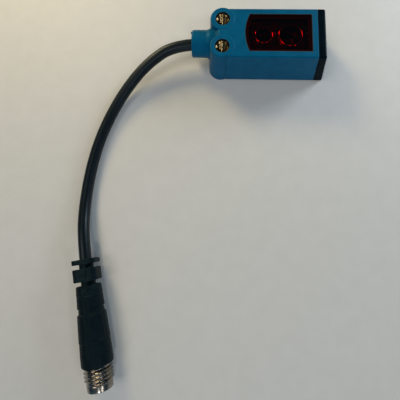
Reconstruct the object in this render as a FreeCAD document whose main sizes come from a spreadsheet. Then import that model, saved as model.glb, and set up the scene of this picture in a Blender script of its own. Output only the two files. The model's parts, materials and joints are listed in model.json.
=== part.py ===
"""Miniature photoelectric sensor with a short pigtail cable and an M8 plug.

All sizes are millimetres. The sensor lies on its rear face: the origin is under the middle of
the sensor at table height, +X runs towards the head end, +Y across, and +Z out of the front
window. The control frame is tilted with the head end's sloping face: its own +X is that face's
outward normal. The plug frame has +X along the plug, from the cable side to the contacts.
Cutting tools run 1 or 2 mm past the faces that they open.
"""
import FreeCAD, Part
import math
import os
import re
import Sketcher

from FreeCAD import Placement, Rotation, Vector

SIZES = [
    # Sensor body
    ("body_width", 16.0, "across the flat sides"),
    ("body_depth", 12.0, "rear face to front face"),
    ("flat_start", -10.4, "where the flat sides begin behind the lugs"),
    ("web_start", -14.3, "end of the web between the lugs"),
    ("web_slope_length", 1.1, "sloping front of the web, along the body"),
    ("web_slope_drop", 1.3, "its drop towards the neck"),
    ("split_front", 16.2, "housing end at the front face"),
    ("split_rear", 18.6, "housing end at the rear face"),
    ("head_front", 18.5, "head end at the front face"),
    ("head_rear", 21.5, "head end at the rear face"),
    ("edge_round", 0.5, "rounding of the long outer edges"),
    ("side_wall", 1.4, "side wall thickness"),
    ("rear_wall", 1.2, "rear wall thickness"),
    ("front_wall", 2.0, "front wall thickness"),
    ("cavity_start", -9.2, "cable side of the electronics cavity"),
    ("rail_height", 1.0, "board rails on the rear wall"),
    ("rail_width", 0.9, "board rail width"),
    # Mounting lugs
    ("lug_center", -12.1, "lug axes along the body"),
    ("lug_spacing", 9.0, "between the two lug axes"),
    ("lug_radius", 3.7, "lug outside radius"),
    ("lug_rise", 0.15, "lugs standing proud of the front face"),
    ("insert_radius", 2.2, "brass insert outside radius"),
    ("insert_bore", 1.25, "M3 thread core radius"),
    ("insert_sink", 0.15, "insert ends below the lug faces"),
    # Cable neck
    ("neck_end", -21.5, "end of the cable neck"),
    ("neck_radius", 3.9, "neck outside radius"),
    ("neck_height", 6.6, "neck axis above the rear face"),
    ("neck_bore", 2.7, "bore for the grommet"),
    ("neck_round", 0.7, "rounding of the neck's end"),
    ("collar_radius", 4.25, "collar at the root of the neck"),
    ("collar_start", -16.0, "cable side of the root collar"),
    # Front window
    ("window_right", 14.6, "straight edge of the window seat"),
    ("window_half", 6.2, "half the window seat's height"),
    ("window_arc", 14.9, "radius of its bulging edge"),
    ("window_arc_center", 9.5, "centre of that edge"),
    ("window_seat", 1.1, "depth of the window seat"),
    ("seal_width", 0.22, "visible line of the window seal"),
    ("seal_floor", 0.2, "seal under the window"),
    ("ledge_width", 0.9, "ledge that carries the window"),
    ("window_sink", 0.04, "window below the front face"),
    # Optics
    ("emitter_center", 0.35, "emitter axis along the body"),
    ("receiver_center", 8.35, "receiver axis along the body"),
    ("emitter_lens_radius", 2.3, "emitter lens"),
    ("receiver_lens_radius", 3.2, "receiver lens"),
    ("lens_wall", 0.5, "wall of each lens barrel"),
    ("lens_ledge", 0.4, "step that each lens sits on"),
    ("lens_bottom", 8.9, "flat side of both lenses"),
    ("lens_edge", 0.7, "edge thickness of both lenses"),
    ("emitter_dome", 4.2, "front radius of the emitter lens"),
    ("receiver_dome", 6.6, "front radius of the receiver lens"),
    ("barrel_top", 10.7, "top of the lens barrels"),
    ("carrier_start", -3.8, "optics carrier, cable side"),
    ("carrier_end", 12.9, "optics carrier, head side"),
    ("carrier_half", 5.1, "half the carrier's width"),
    ("carrier_bottom", 3.7, "carrier above the rear face"),
    ("carrier_top", 9.6, "carrier plate's upper face"),
    # Electronics
    ("board_start", -8.6, "main board, cable side"),
    ("board_end", 13.6, "main board, head side"),
    ("board_half", 6.3, "half the main board's width"),
    ("board_bottom", 2.2, "main board's lower face"),
    ("board_thickness", 0.8, "both boards"),
    ("die_size", 2.0, "light emitting chip package"),
    ("die_height", 1.2, "its height"),
    ("cell_size", 2.6, "photodiode package"),
    ("cell_height", 0.9, "its height"),
    ("shield_size", 3.8, "tin shield over the photodiode"),
    ("shield_height", 2.0, "its height"),
    ("shield_wall", 0.2, "its sheet thickness"),
    ("shield_hole", 1.0, "radius of its light hole"),
    ("chip_size", 4.0, "signal processor package"),
    ("chip_height", 0.85, "its height"),
    ("chip_shift", 4.0, "its centre beyond the emitter axis"),
    ("part_length", 1.0, "chip capacitor length"),
    ("part_width", 0.6, "chip capacitor width"),
    ("part_pitch", 1.6, "between chip capacitors"),
    ("part_gap", 0.6, "between them and the optics carrier"),
    ("pin_size", 0.4, "board link pin, square"),
    ("pin_pitch", 1.27, "between board link pins"),
    ("pin_start", 12.6, "board link pins, main board side"),
    ("pin_end", 15.1, "board link pins, control board side"),
    # Head end controls, in the control frame
    ("cap_seal_width", 0.35, "seal groove between cap and housing"),
    ("spigot_start", 14.9, "cap spigot inside the housing"),
    ("spigot_end", 18.6, "root of the spigot"),
    ("spigot_gap", 0.1, "play round the spigot"),
    ("spigot_wall", 0.9, "spigot wall"),
    ("cap_room", 17.9, "bottom of the cap's inner pocket"),
    ("dial_sink", 0.35, "adjuster below the sloping face"),
    ("dial_radius", 1.6, "adjuster head radius"),
    ("dial_height", 1.0, "adjuster head thickness"),
    ("dial_play", 0.05, "running clearance of adjuster parts"),
    ("slot_width", 0.5, "screwdriver slot width"),
    ("slot_depth", 0.5, "screwdriver slot depth"),
    ("spindle_radius", 0.8, "adjuster spindle radius"),
    ("spindle_end", -4.0, "inner end of the spindle"),
    ("dish_radius", 2.2, "dished recess round the adjuster"),
    ("dial_room", 1.2, "depth of the adjuster's hole below the dish"),
    ("drill_end", -6.0, "inner end of the through holes in the cap"),
    ("ring_start", -1.95, "O-ring, inner side"),
    ("ring_height", 0.5, "O-ring, along the spindle"),
    ("ring_radius", 1.4, "O-ring outside radius"),
    ("pot_start", -5.0, "potentiometer, board side"),
    ("pot_end", -2.9, "potentiometer, cap side"),
    ("pot_size", 4.0, "potentiometer, square"),
    ("pot_room", 1.5, "radius of its wiper chamber"),
    ("pot_wall", 0.5, "potentiometer wall"),
    ("wiper_radius", 1.3, "wiper disc radius"),
    ("wiper_height", 0.35, "wiper disc thickness"),
    ("control_half", 5.6, "half the control board's width"),
    ("control_low", -2.7, "control board below the adjuster axis"),
    ("control_high", 3.2, "control board above the adjuster axis"),
    ("lamp_offset", 4.6, "indicator axes beside the adjuster"),
    ("lamp_size", 1.2, "indicator chip, square"),
    ("lamp_height", 0.7, "indicator chip height"),
    ("pipe_radius", 0.95, "light pipe radius"),
    ("pipe_start", -3.9, "inner end of the light pipes"),
    ("pipe_end", -0.05, "visible end of the light pipes"),
    # Cable
    ("cable_radius", 1.7, "cable jacket radius"),
    ("cable_start", -15.6, "jacket end inside the neck"),
    ("grommet_start", -21.2, "grommet, outer end"),
    ("grommet_end", -17.2, "grommet, inner end"),
    ("clamp_start", -16.8, "crimp ring, outer end"),
    ("clamp_end", -15.7, "crimp ring, inner end"),
    ("clamp_radius", 2.3, "crimp ring outside radius"),
    ("wire_radius", 0.42, "insulated core radius"),
    ("wire_offset", 0.62, "cores from the cable axis"),
    # Plug, in the plug frame
    ("plug_x", -50.4, "cable side of the plug"),
    ("plug_y", -68.1, "cable side of the plug"),
    ("plug_heading", 78.0, "plug axis, degrees from +X towards -Y"),
    ("plug_radius", 4.45, "largest radius of the moulded body"),
    ("plug_root", 3.45, "radius at the cable side of the body"),
    ("plug_core", 2.0, "core between the strain relief ribs"),
    ("rib_one_end", 1.35, "end of the first rib"),
    ("rib_two_start", 2.6, "second rib, cable side"),
    ("rib_two_end", 6.2, "second rib, contact side"),
    ("mould_start", 7.4, "start of the moulded body"),
    ("mould_end", 28.8, "end of the moulded body"),
    ("mould_straight", 26.0, "where its taper ends"),
    ("mould_draft", 0.05, "narrowing from there to its end"),
    ("rib_half", 3.0, "half the ribs' flat height"),
    ("thread_radius", 3.95, "M8x1 thread crest radius"),
    ("thread_end", 33.5, "end of the thread"),
    ("nose_radius", 3.45, "plain nose in front of the thread"),
    ("plug_end", 35.2, "end of the nose"),
    ("sleeve_bore", 2.9, "bore of the metal sleeve"),
    ("sleeve_start", 23.5, "sleeve root inside the moulding"),
    ("carrier_front", 31.2, "face of the contact carrier"),
    ("carrier_root", 20.5, "inner end of the contact carrier"),
    ("contact_radius", 0.5, "contact pin radius"),
    ("contact_circle", 1.4, "contact pin circle radius"),
    ("contact_front", 34.4, "contact pin tips"),
    ("contact_seat", 19.5, "floor of the bore behind the contacts"),
    ("contact_root", 20.0, "contact pin solder ends"),
]

# Corners of the cable's route, from inside the neck to the plug's strain relief.
CABLE_ROUTE = [
    (-15.6, 0.0, 6.6),
    (-26.6, 0.0, 6.6),
    (-35.8, -5.8, 4.8),
    (-42.5, -13.3, 2.8),
    (-47.5, -22.2, 1.7),
    (-50.9, -32.4, 1.7),
    (-52.7, -43.0, 1.7),
    (-53.1, -53.0, 2.2),
    (-51.94, -60.86, 4.2),
    (-50.4, -68.1, 4.45),
]
BEND_SHARE = 0.45

# Where each core's solder pad is on the main board, across it, and its place in the cable.
CORES = [
    ("wire_brown", 3.0, (1, 1)),
    ("wire_white", 1.0, (1, -1)),
    ("wire_blue", -1.0, (-1, -1)),
    ("wire_black", -3.0, (-1, 1)),
]
CORE_PAD_X = -7.4
CORE_BEND_X = -9.6
CORE_BEND_RADIUS = 0.9

doc = FreeCAD.newDocument("photoelectric_sensor")
sheet = doc.addObject("Spreadsheet::Sheet", "Sizes")


# ---------------------------------------------------------------------------------------------
# Helpers
# ---------------------------------------------------------------------------------------------
def fill_sheet():
    """One row for each driving size: what it is, and its value under its own alias."""
    for row, (alias, value, meaning) in enumerate(SIZES, start=1):
        sheet.set(f"A{row}", meaning)
        sheet.set(f"B{row}", str(value))
        sheet.setAlias(f"B{row}", alias)
    doc.recompute()


def size(alias):
    """The sheet's value for one alias, for shapes that are worked out in code."""
    return float(sheet.get(alias))


def bind(item, **links):
    """Tie properties to formulas. A double underscore in a name stands for a dot, and every
    word with an underscore in a formula is an alias of the sheet."""
    for name, formula in links.items():
        linked = re.sub(r"([a-z]+(?:_[a-z]+)+)", r"Sizes.\1", formula)
        item.setExpression(name.replace("__", "."), linked)


def place(item, x="0", y="0", z="0"):
    bind(item, Placement__Base__x=x, Placement__Base__y=y, Placement__Base__z=z)
    return item


def box(name, x, y, z):
    """A box between two formulas along each axis."""
    item = doc.addObject("Part::Box", name)
    lengths = [f"({high}) - ({low})" for low, high in (x, y, z)]
    bind(item, Length=lengths[0], Width=lengths[1], Height=lengths[2])
    return place(item, x[0], y[0], z[0])


def cylinder(name, axis, radius, start, end, across=("0", "0")):
    """A cylinder along x or z between two formulas. across is its centre along the other two
    axes, in the order of the alphabet."""
    item = doc.addObject("Part::Cylinder", name)
    bind(item, Radius=radius, Height=f"({end}) - ({start})")
    if axis == "x":
        item.Placement = Placement(Vector(), Rotation(Vector(0, 1, 0), 90))
        return place(item, start, across[0], across[1])
    return place(item, across[0], across[1], start)


def cut(name, base, tool):
    item = doc.addObject("Part::Cut", name)
    item.Base = base
    item.Tool = tool
    return item


def fuse(name, *items):
    item = doc.addObject("Part::MultiFuse", name)
    item.Shapes = list(items)
    return item


def compound(name, *items):
    item = doc.addObject("Part::Compound", name)
    item.Links = list(items)
    return item


def common(name, *items):
    item = doc.addObject("Part::MultiCommon", name)
    item.Shapes = list(items)
    return item


def body(name):
    return doc.addObject("PartDesign::Body", name)


def sketch_on(owner, name, plane, offset="0"):
    """A sketch on one of the body's own origin planes, moved along that plane's normal."""
    sketch = owner.newObject("Sketcher::SketchObject", name)
    support = next(f for f in owner.Origin.OriginFeatures if f.Role == plane)
    sketch.AttachmentSupport = [(support, "")]
    sketch.MapMode = "FlatFace"
    bind(sketch, AttachmentOffset__Base__z=offset)
    return sketch


def fix_point(sketch, geometry, vertex, x, y):
    """Hold one point of a sketch at two formulas."""
    label = f"p{sketch.ConstraintCount}"
    for kind, formula in (("DistanceX", x), ("DistanceY", y)):
        number = sketch.addConstraint(Sketcher.Constraint(kind, -1, 1, geometry, vertex, 1.0))
        sketch.renameConstraint(number, label + kind)
        bind(sketch, **{f"Constraints.{label}{kind}": formula})


def draw_polygon(sketch, corners):
    """A closed outline whose corners are pairs of formulas."""
    count = len(corners)
    first = sketch.GeometryCount
    turns = [2 * math.pi * index / count for index in range(count)]
    ring = [Vector(math.cos(turn), math.sin(turn), 0) for turn in turns]
    for index in range(count):
        sketch.addGeometry(Part.LineSegment(ring[index], ring[(index + 1) % count]), False)
    for index in range(count):
        following = first + (index + 1) % count
        sketch.addConstraint(Sketcher.Constraint("Coincident", first + index, 2, following, 1))
    for index, (x, y) in enumerate(corners):
        fix_point(sketch, first + index, 1, x, y)


def draw_rectangle(sketch, x, y):
    draw_polygon(sketch, [(x[0], y[0]), (x[1], y[0]), (x[1], y[1]), (x[0], y[1])])


def draw_circle(sketch, x, y, radius):
    number = sketch.addGeometry(Part.Circle(Vector(), Vector(0, 0, 1), 1.0), False)
    fix_point(sketch, number, 3, x, y)
    label = f"r{sketch.ConstraintCount}"
    constraint = sketch.addConstraint(Sketcher.Constraint("Radius", number, 1.0))
    sketch.renameConstraint(constraint, label)
    bind(sketch, **{f"Constraints.{label}": radius})


def draw_window(sketch, inset):
    """The window's outline: three straight edges and one bulging edge, all moved inwards."""
    right = f"window_right - ({inset})"
    half = f"window_half - ({inset})"
    reach = size("window_arc_center") - size("window_arc")
    top = Vector(reach + 1, size("window_half") - 1, 0)
    bottom = Vector(top.x, -top.y, 0)
    far_top = Vector(size("window_right") - 1, top.y, 0)
    far_bottom = Vector(far_top.x, bottom.y, 0)
    sketch.addGeometry(Part.LineSegment(bottom, far_bottom), False)
    sketch.addGeometry(Part.LineSegment(far_bottom, far_top), False)
    sketch.addGeometry(Part.LineSegment(far_top, top), False)
    sketch.addGeometry(Part.Arc(top, Vector(reach, 0, 0), bottom), False)
    for line in (0, 1):
        sketch.addConstraint(Sketcher.Constraint("Coincident", line, 2, line + 1, 1))
    bulge = sketch.Geometry[3]
    ends = [bulge.StartPoint, bulge.EndPoint]
    upper = 1 if ends[0].y > ends[1].y else 2
    sketch.addConstraint(Sketcher.Constraint("Coincident", 2, 2, 3, upper))
    sketch.addConstraint(Sketcher.Constraint("Coincident", 0, 1, 3, 3 - upper))
    sketch.addConstraint(Sketcher.Constraint("Horizontal", 0))
    sketch.addConstraint(Sketcher.Constraint("Horizontal", 2))
    fix_point(sketch, 1, 1, right, f"-({half})")
    fix_point(sketch, 1, 2, right, half)
    fix_point(sketch, 3, 3, "window_arc_center", "0")
    label = sketch.addConstraint(Sketcher.Constraint("Radius", 3, size("window_arc")))
    sketch.renameConstraint(label, "bulge")
    bind(sketch, **{"Constraints.bulge": f"window_arc - ({inset})"})


def extrude(owner, kind, sketch, length=None, side="One side", back=False):
    """A pad or a pocket. Without a length it goes through everything."""
    feature = owner.newObject(f"PartDesign::{kind}", f"{sketch.Name}_{kind}")
    feature.Profile = sketch
    feature.SideType = side
    feature.Reversed = back
    if length is None:
        feature.Type = "ThroughAll"
    else:
        bind(feature, Length=length)
    sketch.Visibility = False
    return feature


def revolve(owner, sketch, kind="Revolution"):
    """A full turn about the sketch's horizontal axis."""
    feature = owner.newObject(f"PartDesign::{kind}", f"{sketch.Name}_{kind}")
    feature.Profile = sketch
    feature.ReferenceAxis = (sketch, ["H_Axis"])
    feature.Angle = 360
    return feature


def round_edges(owner, base, radius, wanted):
    """Fillet the edges of a feature that pass the test."""
    doc.recompute()
    names = [f"Edge{n}" for n, edge in enumerate(base.Shape.Edges, start=1) if wanted(edge)]
    if not names:
        raise ValueError(f"no edge to round on {base.Name}")
    feature = owner.newObject("PartDesign::Fillet", f"{base.Name}_round")
    feature.Base = (base, names)
    bind(feature, Radius=radius)
    return feature


def lies_at(edge, axis, value, slack=0.01):
    """Whether the whole edge lies in the plane where that coordinate has that value."""
    low = getattr(edge.BoundBox, f"{axis}Min")
    high = getattr(edge.BoundBox, f"{axis}Max")
    return abs(low - value) < slack and abs(high - value) < slack


def runs_along(edge, axis, slack=0.01):
    """Whether the edge is straight along one axis."""
    spans = {
        "X": edge.BoundBox.XLength,
        "Y": edge.BoundBox.YLength,
        "Z": edge.BoundBox.ZLength,
    }
    return all((span > slack) == (name == axis) for name, span in spans.items())


def into_control_frame(item):
    """Tilt a piece built round the adjuster's axis onto the sloping face."""
    item.Placement = Placement(Vector(), Rotation(Vector(0, -1, 0), 10))
    tilt = "atan((head_rear - head_front) / body_depth)"
    bind(item, Placement__Rotation__Angle=tilt)
    return place(item, "(head_front + head_rear) / 2", "0", "body_depth / 2")


def into_plug_frame(item):
    """Turn a piece built along +X onto the plug's axis on the table."""
    item.Placement = Placement(Vector(), Rotation(Vector(0, 0, -1), 10))
    bind(item, Placement__Rotation__Angle="plug_heading")
    return place(item, "plug_x", "plug_y", "plug_radius")


def rounded_path(corners, radii):
    """Straight runs joined by tangent arcs, as one wire."""
    points = [Vector(*corner) for corner in corners]
    edges = []
    here = points[0]
    for index, radius in enumerate(radii, start=1):
        incoming = (points[index] - points[index - 1]).normalize()
        outgoing = (points[index + 1] - points[index]).normalize()
        turn = incoming.getAngle(outgoing)
        back = radius * math.tan(turn / 2)
        arc_start = points[index] - incoming * back
        arc_end = points[index] + outgoing * back
        inward = (outgoing - incoming).normalize()
        middle = points[index] + inward * (radius / math.cos(turn / 2) - radius)
        edges.append(Part.LineSegment(here, arc_start).toShape())
        edges.append(Part.Arc(arc_start, middle, arc_end).toShape())
        here = arc_end
    edges.append(Part.LineSegment(here, points[-1]).toShape())
    return Part.Wire(edges)


def bend_radii(corners):
    """The largest even bends: each uses the same share of its shorter run."""
    points = [Vector(*corner) for corner in corners]
    radii = []
    for before, here, after in zip(points, points[1:], points[2:]):
        shorter = min((here - before).Length, (after - here).Length)
        turn = (here - before).getAngle(after - here)
        radii.append(BEND_SHARE * shorter / math.tan(turn / 2))
    return radii


def tube(name, corners, radii, radius):
    """A round solid along a path, as a plain feature."""
    path = rounded_path(corners, radii)
    start = path.Edges[0].valueAt(path.Edges[0].FirstParameter)
    heading = path.Edges[0].tangentAt(path.Edges[0].FirstParameter)
    section = Part.Wire(Part.Circle(start, heading, radius).toShape())
    item = doc.addObject("Part::Feature", name)
    item.Shape = path.makePipeShell([section], True, False)
    item.Placement = Placement()
    expected = math.pi * radius**2 * path.Length
    print(f"{name}: length {path.Length:.2f}, volume {item.Shape.Volume:.2f} of {expected:.2f}")
    return item


# ---------------------------------------------------------------------------------------------
# Housing and mounting lugs
# ---------------------------------------------------------------------------------------------
def make_housing():
    """The blue shell: body, two lugs, cable neck, window seat and electronics cavity."""
    shell = body("housing")

    outline = sketch_on(shell, "shell_outline", "XY_Plane")
    draw_rectangle(outline, ("flat_start", "head_rear"), ("-body_width / 2", "body_width / 2"))
    block = extrude(shell, "Pad", outline, "body_depth")
    half = size("body_width") / 2
    long_edges = round_edges(
        shell,
        block,
        "edge_round",
        lambda edge: runs_along(edge, "X")
        and (lies_at(edge, "Y", half) or lies_at(edge, "Y", -half)),
    )
    shell.Tip = long_edges

    web = sketch_on(shell, "web_profile", "XZ_Plane")
    draw_polygon(
        web,
        [
            ("web_start", "0"),
            ("flat_start", "0"),
            ("flat_start", "body_depth"),
            ("web_start + web_slope_length", "body_depth"),
            ("web_start", "body_depth - web_slope_drop"),
        ],
    )
    extrude(shell, "Pad", web, "lug_spacing", "Symmetric")

    lugs = sketch_on(shell, "lugs", "XY_Plane")
    for side in ("", "-"):
        draw_circle(lugs, "lug_center", f"{side}lug_spacing / 2", "lug_radius")
    extrude(shell, "Pad", lugs, "body_depth + lug_rise")

    neck = sketch_on(shell, "neck", "YZ_Plane", "neck_end")
    draw_circle(neck, "0", "neck_height", "neck_radius")
    neck_pad = extrude(shell, "Pad", neck, "web_start + 1 - neck_end")
    end = size("neck_end")
    neck_round = round_edges(shell, neck_pad, "neck_round", lambda e: lies_at(e, "X", end))
    shell.Tip = neck_round

    collar = sketch_on(shell, "neck_collar", "YZ_Plane", "collar_start")
    draw_circle(collar, "0", "neck_height", "collar_radius")
    extrude(shell, "Pad", collar, "web_start + 1 - collar_start")

    slope = sketch_on(shell, "head_slope", "XZ_Plane")
    draw_polygon(
        slope,
        [
            ("split_rear", "0"),
            ("head_rear + 1", "0"),
            ("head_rear + 1", "body_depth"),
            ("split_front", "body_depth"),
        ],
    )
    extrude(shell, "Pocket", slope, "body_width + 2", "Symmetric")

    cavity = sketch_on(shell, "cavity", "YZ_Plane", "cavity_start")
    side = "body_width / 2 - side_wall"
    draw_rectangle(cavity, (f"-({side})", side), ("rear_wall", "body_depth - front_wall"))
    extrude(shell, "Pocket", cavity, "head_rear - cavity_start", back=True)

    for index, sign in enumerate(("", "-")):
        rail = sketch_on(shell, f"rail_{index + 1}", "XY_Plane", "rear_wall")
        edges = [f"{sign}({side})", f"{sign}({side} - rail_width)"]
        draw_rectangle(rail, ("cavity_start", "board_end"), edges)
        extrude(shell, "Pad", rail, "rail_height")

    opening = sketch_on(shell, "window_opening", "XY_Plane", "body_depth - front_wall - 1")
    draw_window(opening, "ledge_width + seal_width")
    extrude(shell, "Pocket", opening, "front_wall + 2", back=True)

    seat = sketch_on(shell, "window_seat_outline", "XY_Plane", "body_depth - window_seat")
    draw_window(seat, "0")
    extrude(shell, "Pocket", seat, "window_seat + 1", back=True)

    bore = sketch_on(shell, "neck_bore_outline", "YZ_Plane", "neck_end - 1")
    draw_circle(bore, "0", "neck_height", "neck_bore")
    extrude(shell, "Pocket", bore, "cavity_start - neck_end + 2", back=True)

    inserts = sketch_on(shell, "insert_bores", "XY_Plane", "-1 * lug_rise")
    for side in ("", "-"):
        draw_circle(inserts, "lug_center", f"{side}lug_spacing / 2", "insert_radius")
    extrude(shell, "Pocket", inserts, "body_depth + 4 * lug_rise", back=True)
    return shell


def make_threaded_inserts():
    """Two brass sleeves with an M3 thread, one in each lug."""
    sleeves = []
    for index, sign in enumerate(("", "-"), start=1):
        center = ("lug_center", f"{sign}lug_spacing / 2")
        span = ("insert_sink", "body_depth + lug_rise - insert_sink")
        outer = cylinder(f"insert_blank_{index}", "z", "insert_radius", *span, center)
        bore = cylinder(f"insert_core_{index}", "z", "insert_bore", *span, center)
        sleeves.append(cut(f"insert_{index}", outer, bore))
    return compound("threaded_inserts", *sleeves)


# ---------------------------------------------------------------------------------------------
# Front window and optics
# ---------------------------------------------------------------------------------------------
def make_front_window():
    """The tinted pane, set just below the front face."""
    pane = body("front_window")
    low = "body_depth - window_seat + seal_floor"
    outline = sketch_on(pane, "pane_outline", "XY_Plane", low)
    draw_window(outline, "seal_width")
    extrude(pane, "Pad", outline, "window_seat - seal_floor - window_sink")
    return pane


def make_window_seal():
    """A thin black gasket under the pane and round its edge."""
    seal = body("window_seal")
    outline = sketch_on(seal, "seal_outline", "XY_Plane", "body_depth - window_seat")
    draw_window(outline, "0")
    extrude(seal, "Pad", outline, "window_seat - window_sink")
    recess = sketch_on(seal, "seal_recess", "XY_Plane", "body_depth - window_seat + seal_floor")
    draw_window(recess, "seal_width")
    extrude(seal, "Pocket", recess, "window_seat", back=True)
    opening = sketch_on(seal, "seal_opening", "XY_Plane", "body_depth - 2 * window_seat")
    draw_window(opening, "ledge_width + seal_width")
    extrude(seal, "Pocket", opening, "3 * window_seat", back=True)
    return seal


def make_optics_carrier():
    """The black moulding behind the window, with a light channel and a barrel for each lens."""
    plate = box(
        "carrier_plate",
        ("carrier_start", "carrier_end"),
        ("-carrier_half", "carrier_half"),
        ("carrier_bottom", "carrier_top"),
    )
    barrels = []
    channels = []
    for side in ("emitter", "receiver"):
        center = (f"{side}_center", "0")
        barrel = f"{side}_lens_radius + lens_wall"
        channel = f"{side}_lens_radius - lens_ledge"
        span = ("carrier_bottom", "barrel_top")
        seat = ("lens_bottom", "barrel_top + 1")
        through = ("carrier_bottom - 1", "barrel_top + 1")
        barrels.append(cylinder(f"{side}_barrel", "z", barrel, *span, center))
        channels.append(cylinder(f"{side}_channel", "z", channel, *through, center))
        channels.append(cylinder(f"{side}_seat", "z", f"{side}_lens_radius", *seat, center))
    solid = fuse("carrier_blank", plate, *barrels)
    return cut("optics_carrier", solid, fuse("carrier_channels", *channels))


def make_lens(side):
    """A plano-convex lens: a disc with a domed front."""
    center = (f"{side}_center", "0")
    radius = f"{side}_lens_radius"
    dome = f"{side}_dome"
    rise = f"{dome} - sqrt({dome}^2 - {radius}^2)"
    apex = f"lens_bottom + lens_edge + {rise}"
    disc = cylinder(f"{side}_disc", "z", radius, "lens_bottom", apex, center)
    ball = doc.addObject("Part::Sphere", f"{side}_ball")
    bind(ball, Radius=dome)
    place(ball, f"{side}_center", "0", f"{apex} - {dome}")
    return common(f"{side}_lens", disc, ball)


# ---------------------------------------------------------------------------------------------
# Electronics
# ---------------------------------------------------------------------------------------------
BOARD_TOP = "board_bottom + board_thickness"


def centered_box(name, x, y, side, z):
    """A box with a square plan round a centre."""
    half = f"({side}) / 2"
    return box(name, (f"{x} - {half}", f"{x} + {half}"), (f"{y} - {half}", f"{y} + {half}"), z)


def make_main_board():
    return box(
        "main_board",
        ("board_start", "board_end"),
        ("-board_half", "board_half"),
        ("board_bottom", BOARD_TOP),
    )


def make_emitter_led():
    """The emitter's package with its small clear dome."""
    top = f"{BOARD_TOP} + die_height"
    package = centered_box("led_package", "emitter_center", "0", "die_size", (BOARD_TOP, top))
    dome = doc.addObject("Part::Sphere", "led_dome")
    bind(dome, Radius="die_size * 0.35")
    place(dome, "emitter_center", "0", top)
    return fuse("emitter_led", package, dome)


def make_receiver_photodiode():
    top = f"{BOARD_TOP} + cell_height"
    span = (BOARD_TOP, top)
    return centered_box("receiver_photodiode", "receiver_center", "0", "cell_size", span)


def make_receiver_shield():
    """A tin box over the photodiode, open below, with a round light hole."""
    top = f"{BOARD_TOP} + shield_height"
    outer = centered_box("shield_box", "receiver_center", "0", "shield_size", (BOARD_TOP, top))
    room = "shield_size - 2 * shield_wall"
    inner_span = (f"{BOARD_TOP} - 1", f"{top} - shield_wall")
    inner = centered_box("shield_room", "receiver_center", "0", room, inner_span)
    center = ("receiver_center", "0")
    hole = cylinder("shield_light", "z", "shield_hole", BOARD_TOP, f"{top} + 1", center)
    return cut("receiver_shield", outer, fuse("shield_inside", inner, hole))


def make_sensor_chip():
    """The signal processor, under the main board."""
    span = ("board_bottom - chip_height", "board_bottom")
    return centered_box("sensor_chip", "emitter_center + chip_shift", "0", "chip_size", span)


def make_board_capacitors():
    """A row of chip capacitors beside the cable's solder pads."""
    count = 4
    parts = []
    for index in range(count):
        middle = f"({index} - {(count - 1) / 2}) * part_pitch"
        y = (f"{middle} - part_width / 2", f"{middle} + part_width / 2")
        x = ("carrier_start - part_gap - part_length", "carrier_start - part_gap")
        z = (BOARD_TOP, f"{BOARD_TOP} + part_width")
        parts.append(box(f"capacitor_{index + 1}", x, y, z))
    return compound("board_capacitors", *parts)


def make_board_link_pins():
    """Four square pins from the main board to the control board."""
    count = 4
    pins = []
    for index in range(count):
        middle = f"({index} - {(count - 1) / 2}) * pin_pitch"
        y = (f"{middle} - pin_size / 2", f"{middle} + pin_size / 2")
        z = (BOARD_TOP, f"{BOARD_TOP} + pin_size")
        pins.append(box(f"link_pin_{index + 1}", ("pin_start", "pin_end"), y, z))
    return compound("board_link_pins", *pins)


# ---------------------------------------------------------------------------------------------
# Head cap and its controls
# ---------------------------------------------------------------------------------------------
def make_head_cap():
    """The black end cap: sloping face, spigot, room for the controls and three openings."""
    cap = body("head_cap")
    profile = sketch_on(cap, "cap_profile", "XZ_Plane")
    draw_polygon(
        profile,
        [
            ("split_rear", "0"),
            ("head_rear", "0"),
            ("head_front", "body_depth"),
            ("split_front", "body_depth"),
        ],
    )
    block = extrude(cap, "Pad", profile, "body_width", "Symmetric")
    half = size("body_width") / 2
    inner_face = size("split_rear") - 0.2

    def outer_edge(edge):
        box_of = edge.BoundBox
        on_side = lies_at(edge, "Y", half) or lies_at(edge, "Y", -half)
        on_end = box_of.XMin > size("split_front") + 1 and box_of.XMax > inner_face
        return on_side and (on_end or runs_along(edge, "X"))

    rounded = round_edges(cap, block, "edge_round", outer_edge)
    cap.Tip = rounded

    side = "body_width / 2 - side_wall - spigot_gap"
    low = "rear_wall + spigot_gap"
    high = "body_depth - front_wall - spigot_gap"
    spigot = sketch_on(cap, "spigot", "YZ_Plane", "spigot_start")
    draw_rectangle(spigot, (f"-({side})", side), (low, high))
    extrude(cap, "Pad", spigot, "spigot_end - spigot_start")

    room = sketch_on(cap, "control_room", "YZ_Plane", "spigot_start - 1")
    room_side = f"{side} - spigot_wall"
    draw_rectangle(
        room,
        (f"-({room_side})", room_side),
        (f"{low} + spigot_wall / 2", f"{high} - spigot_wall / 2"),
    )
    extrude(cap, "Pocket", room, "cap_room - spigot_start + 1", back=True)
    return cap


def make_control_holes():
    """What is drilled out of the cap, square to the sloping face."""
    dish = cylinder("adjuster_dish", "x", "dish_radius", "-dial_sink", "2")
    hole = cylinder("adjuster_hole", "x", "dial_radius + dial_play", "-dial_sink - dial_room", "2")
    neck = cylinder("spindle_hole", "x", "ring_radius", "drill_end", "0")
    lamps = []
    for index, sign in enumerate(("", "-"), start=1):
        across = (f"{sign}lamp_offset", "0")
        lamps.append(cylinder(f"lamp_hole_{index}", "x", "pipe_radius", "drill_end", "2", across))
    return into_control_frame(fuse("control_holes", dish, hole, neck, *lamps))


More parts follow.
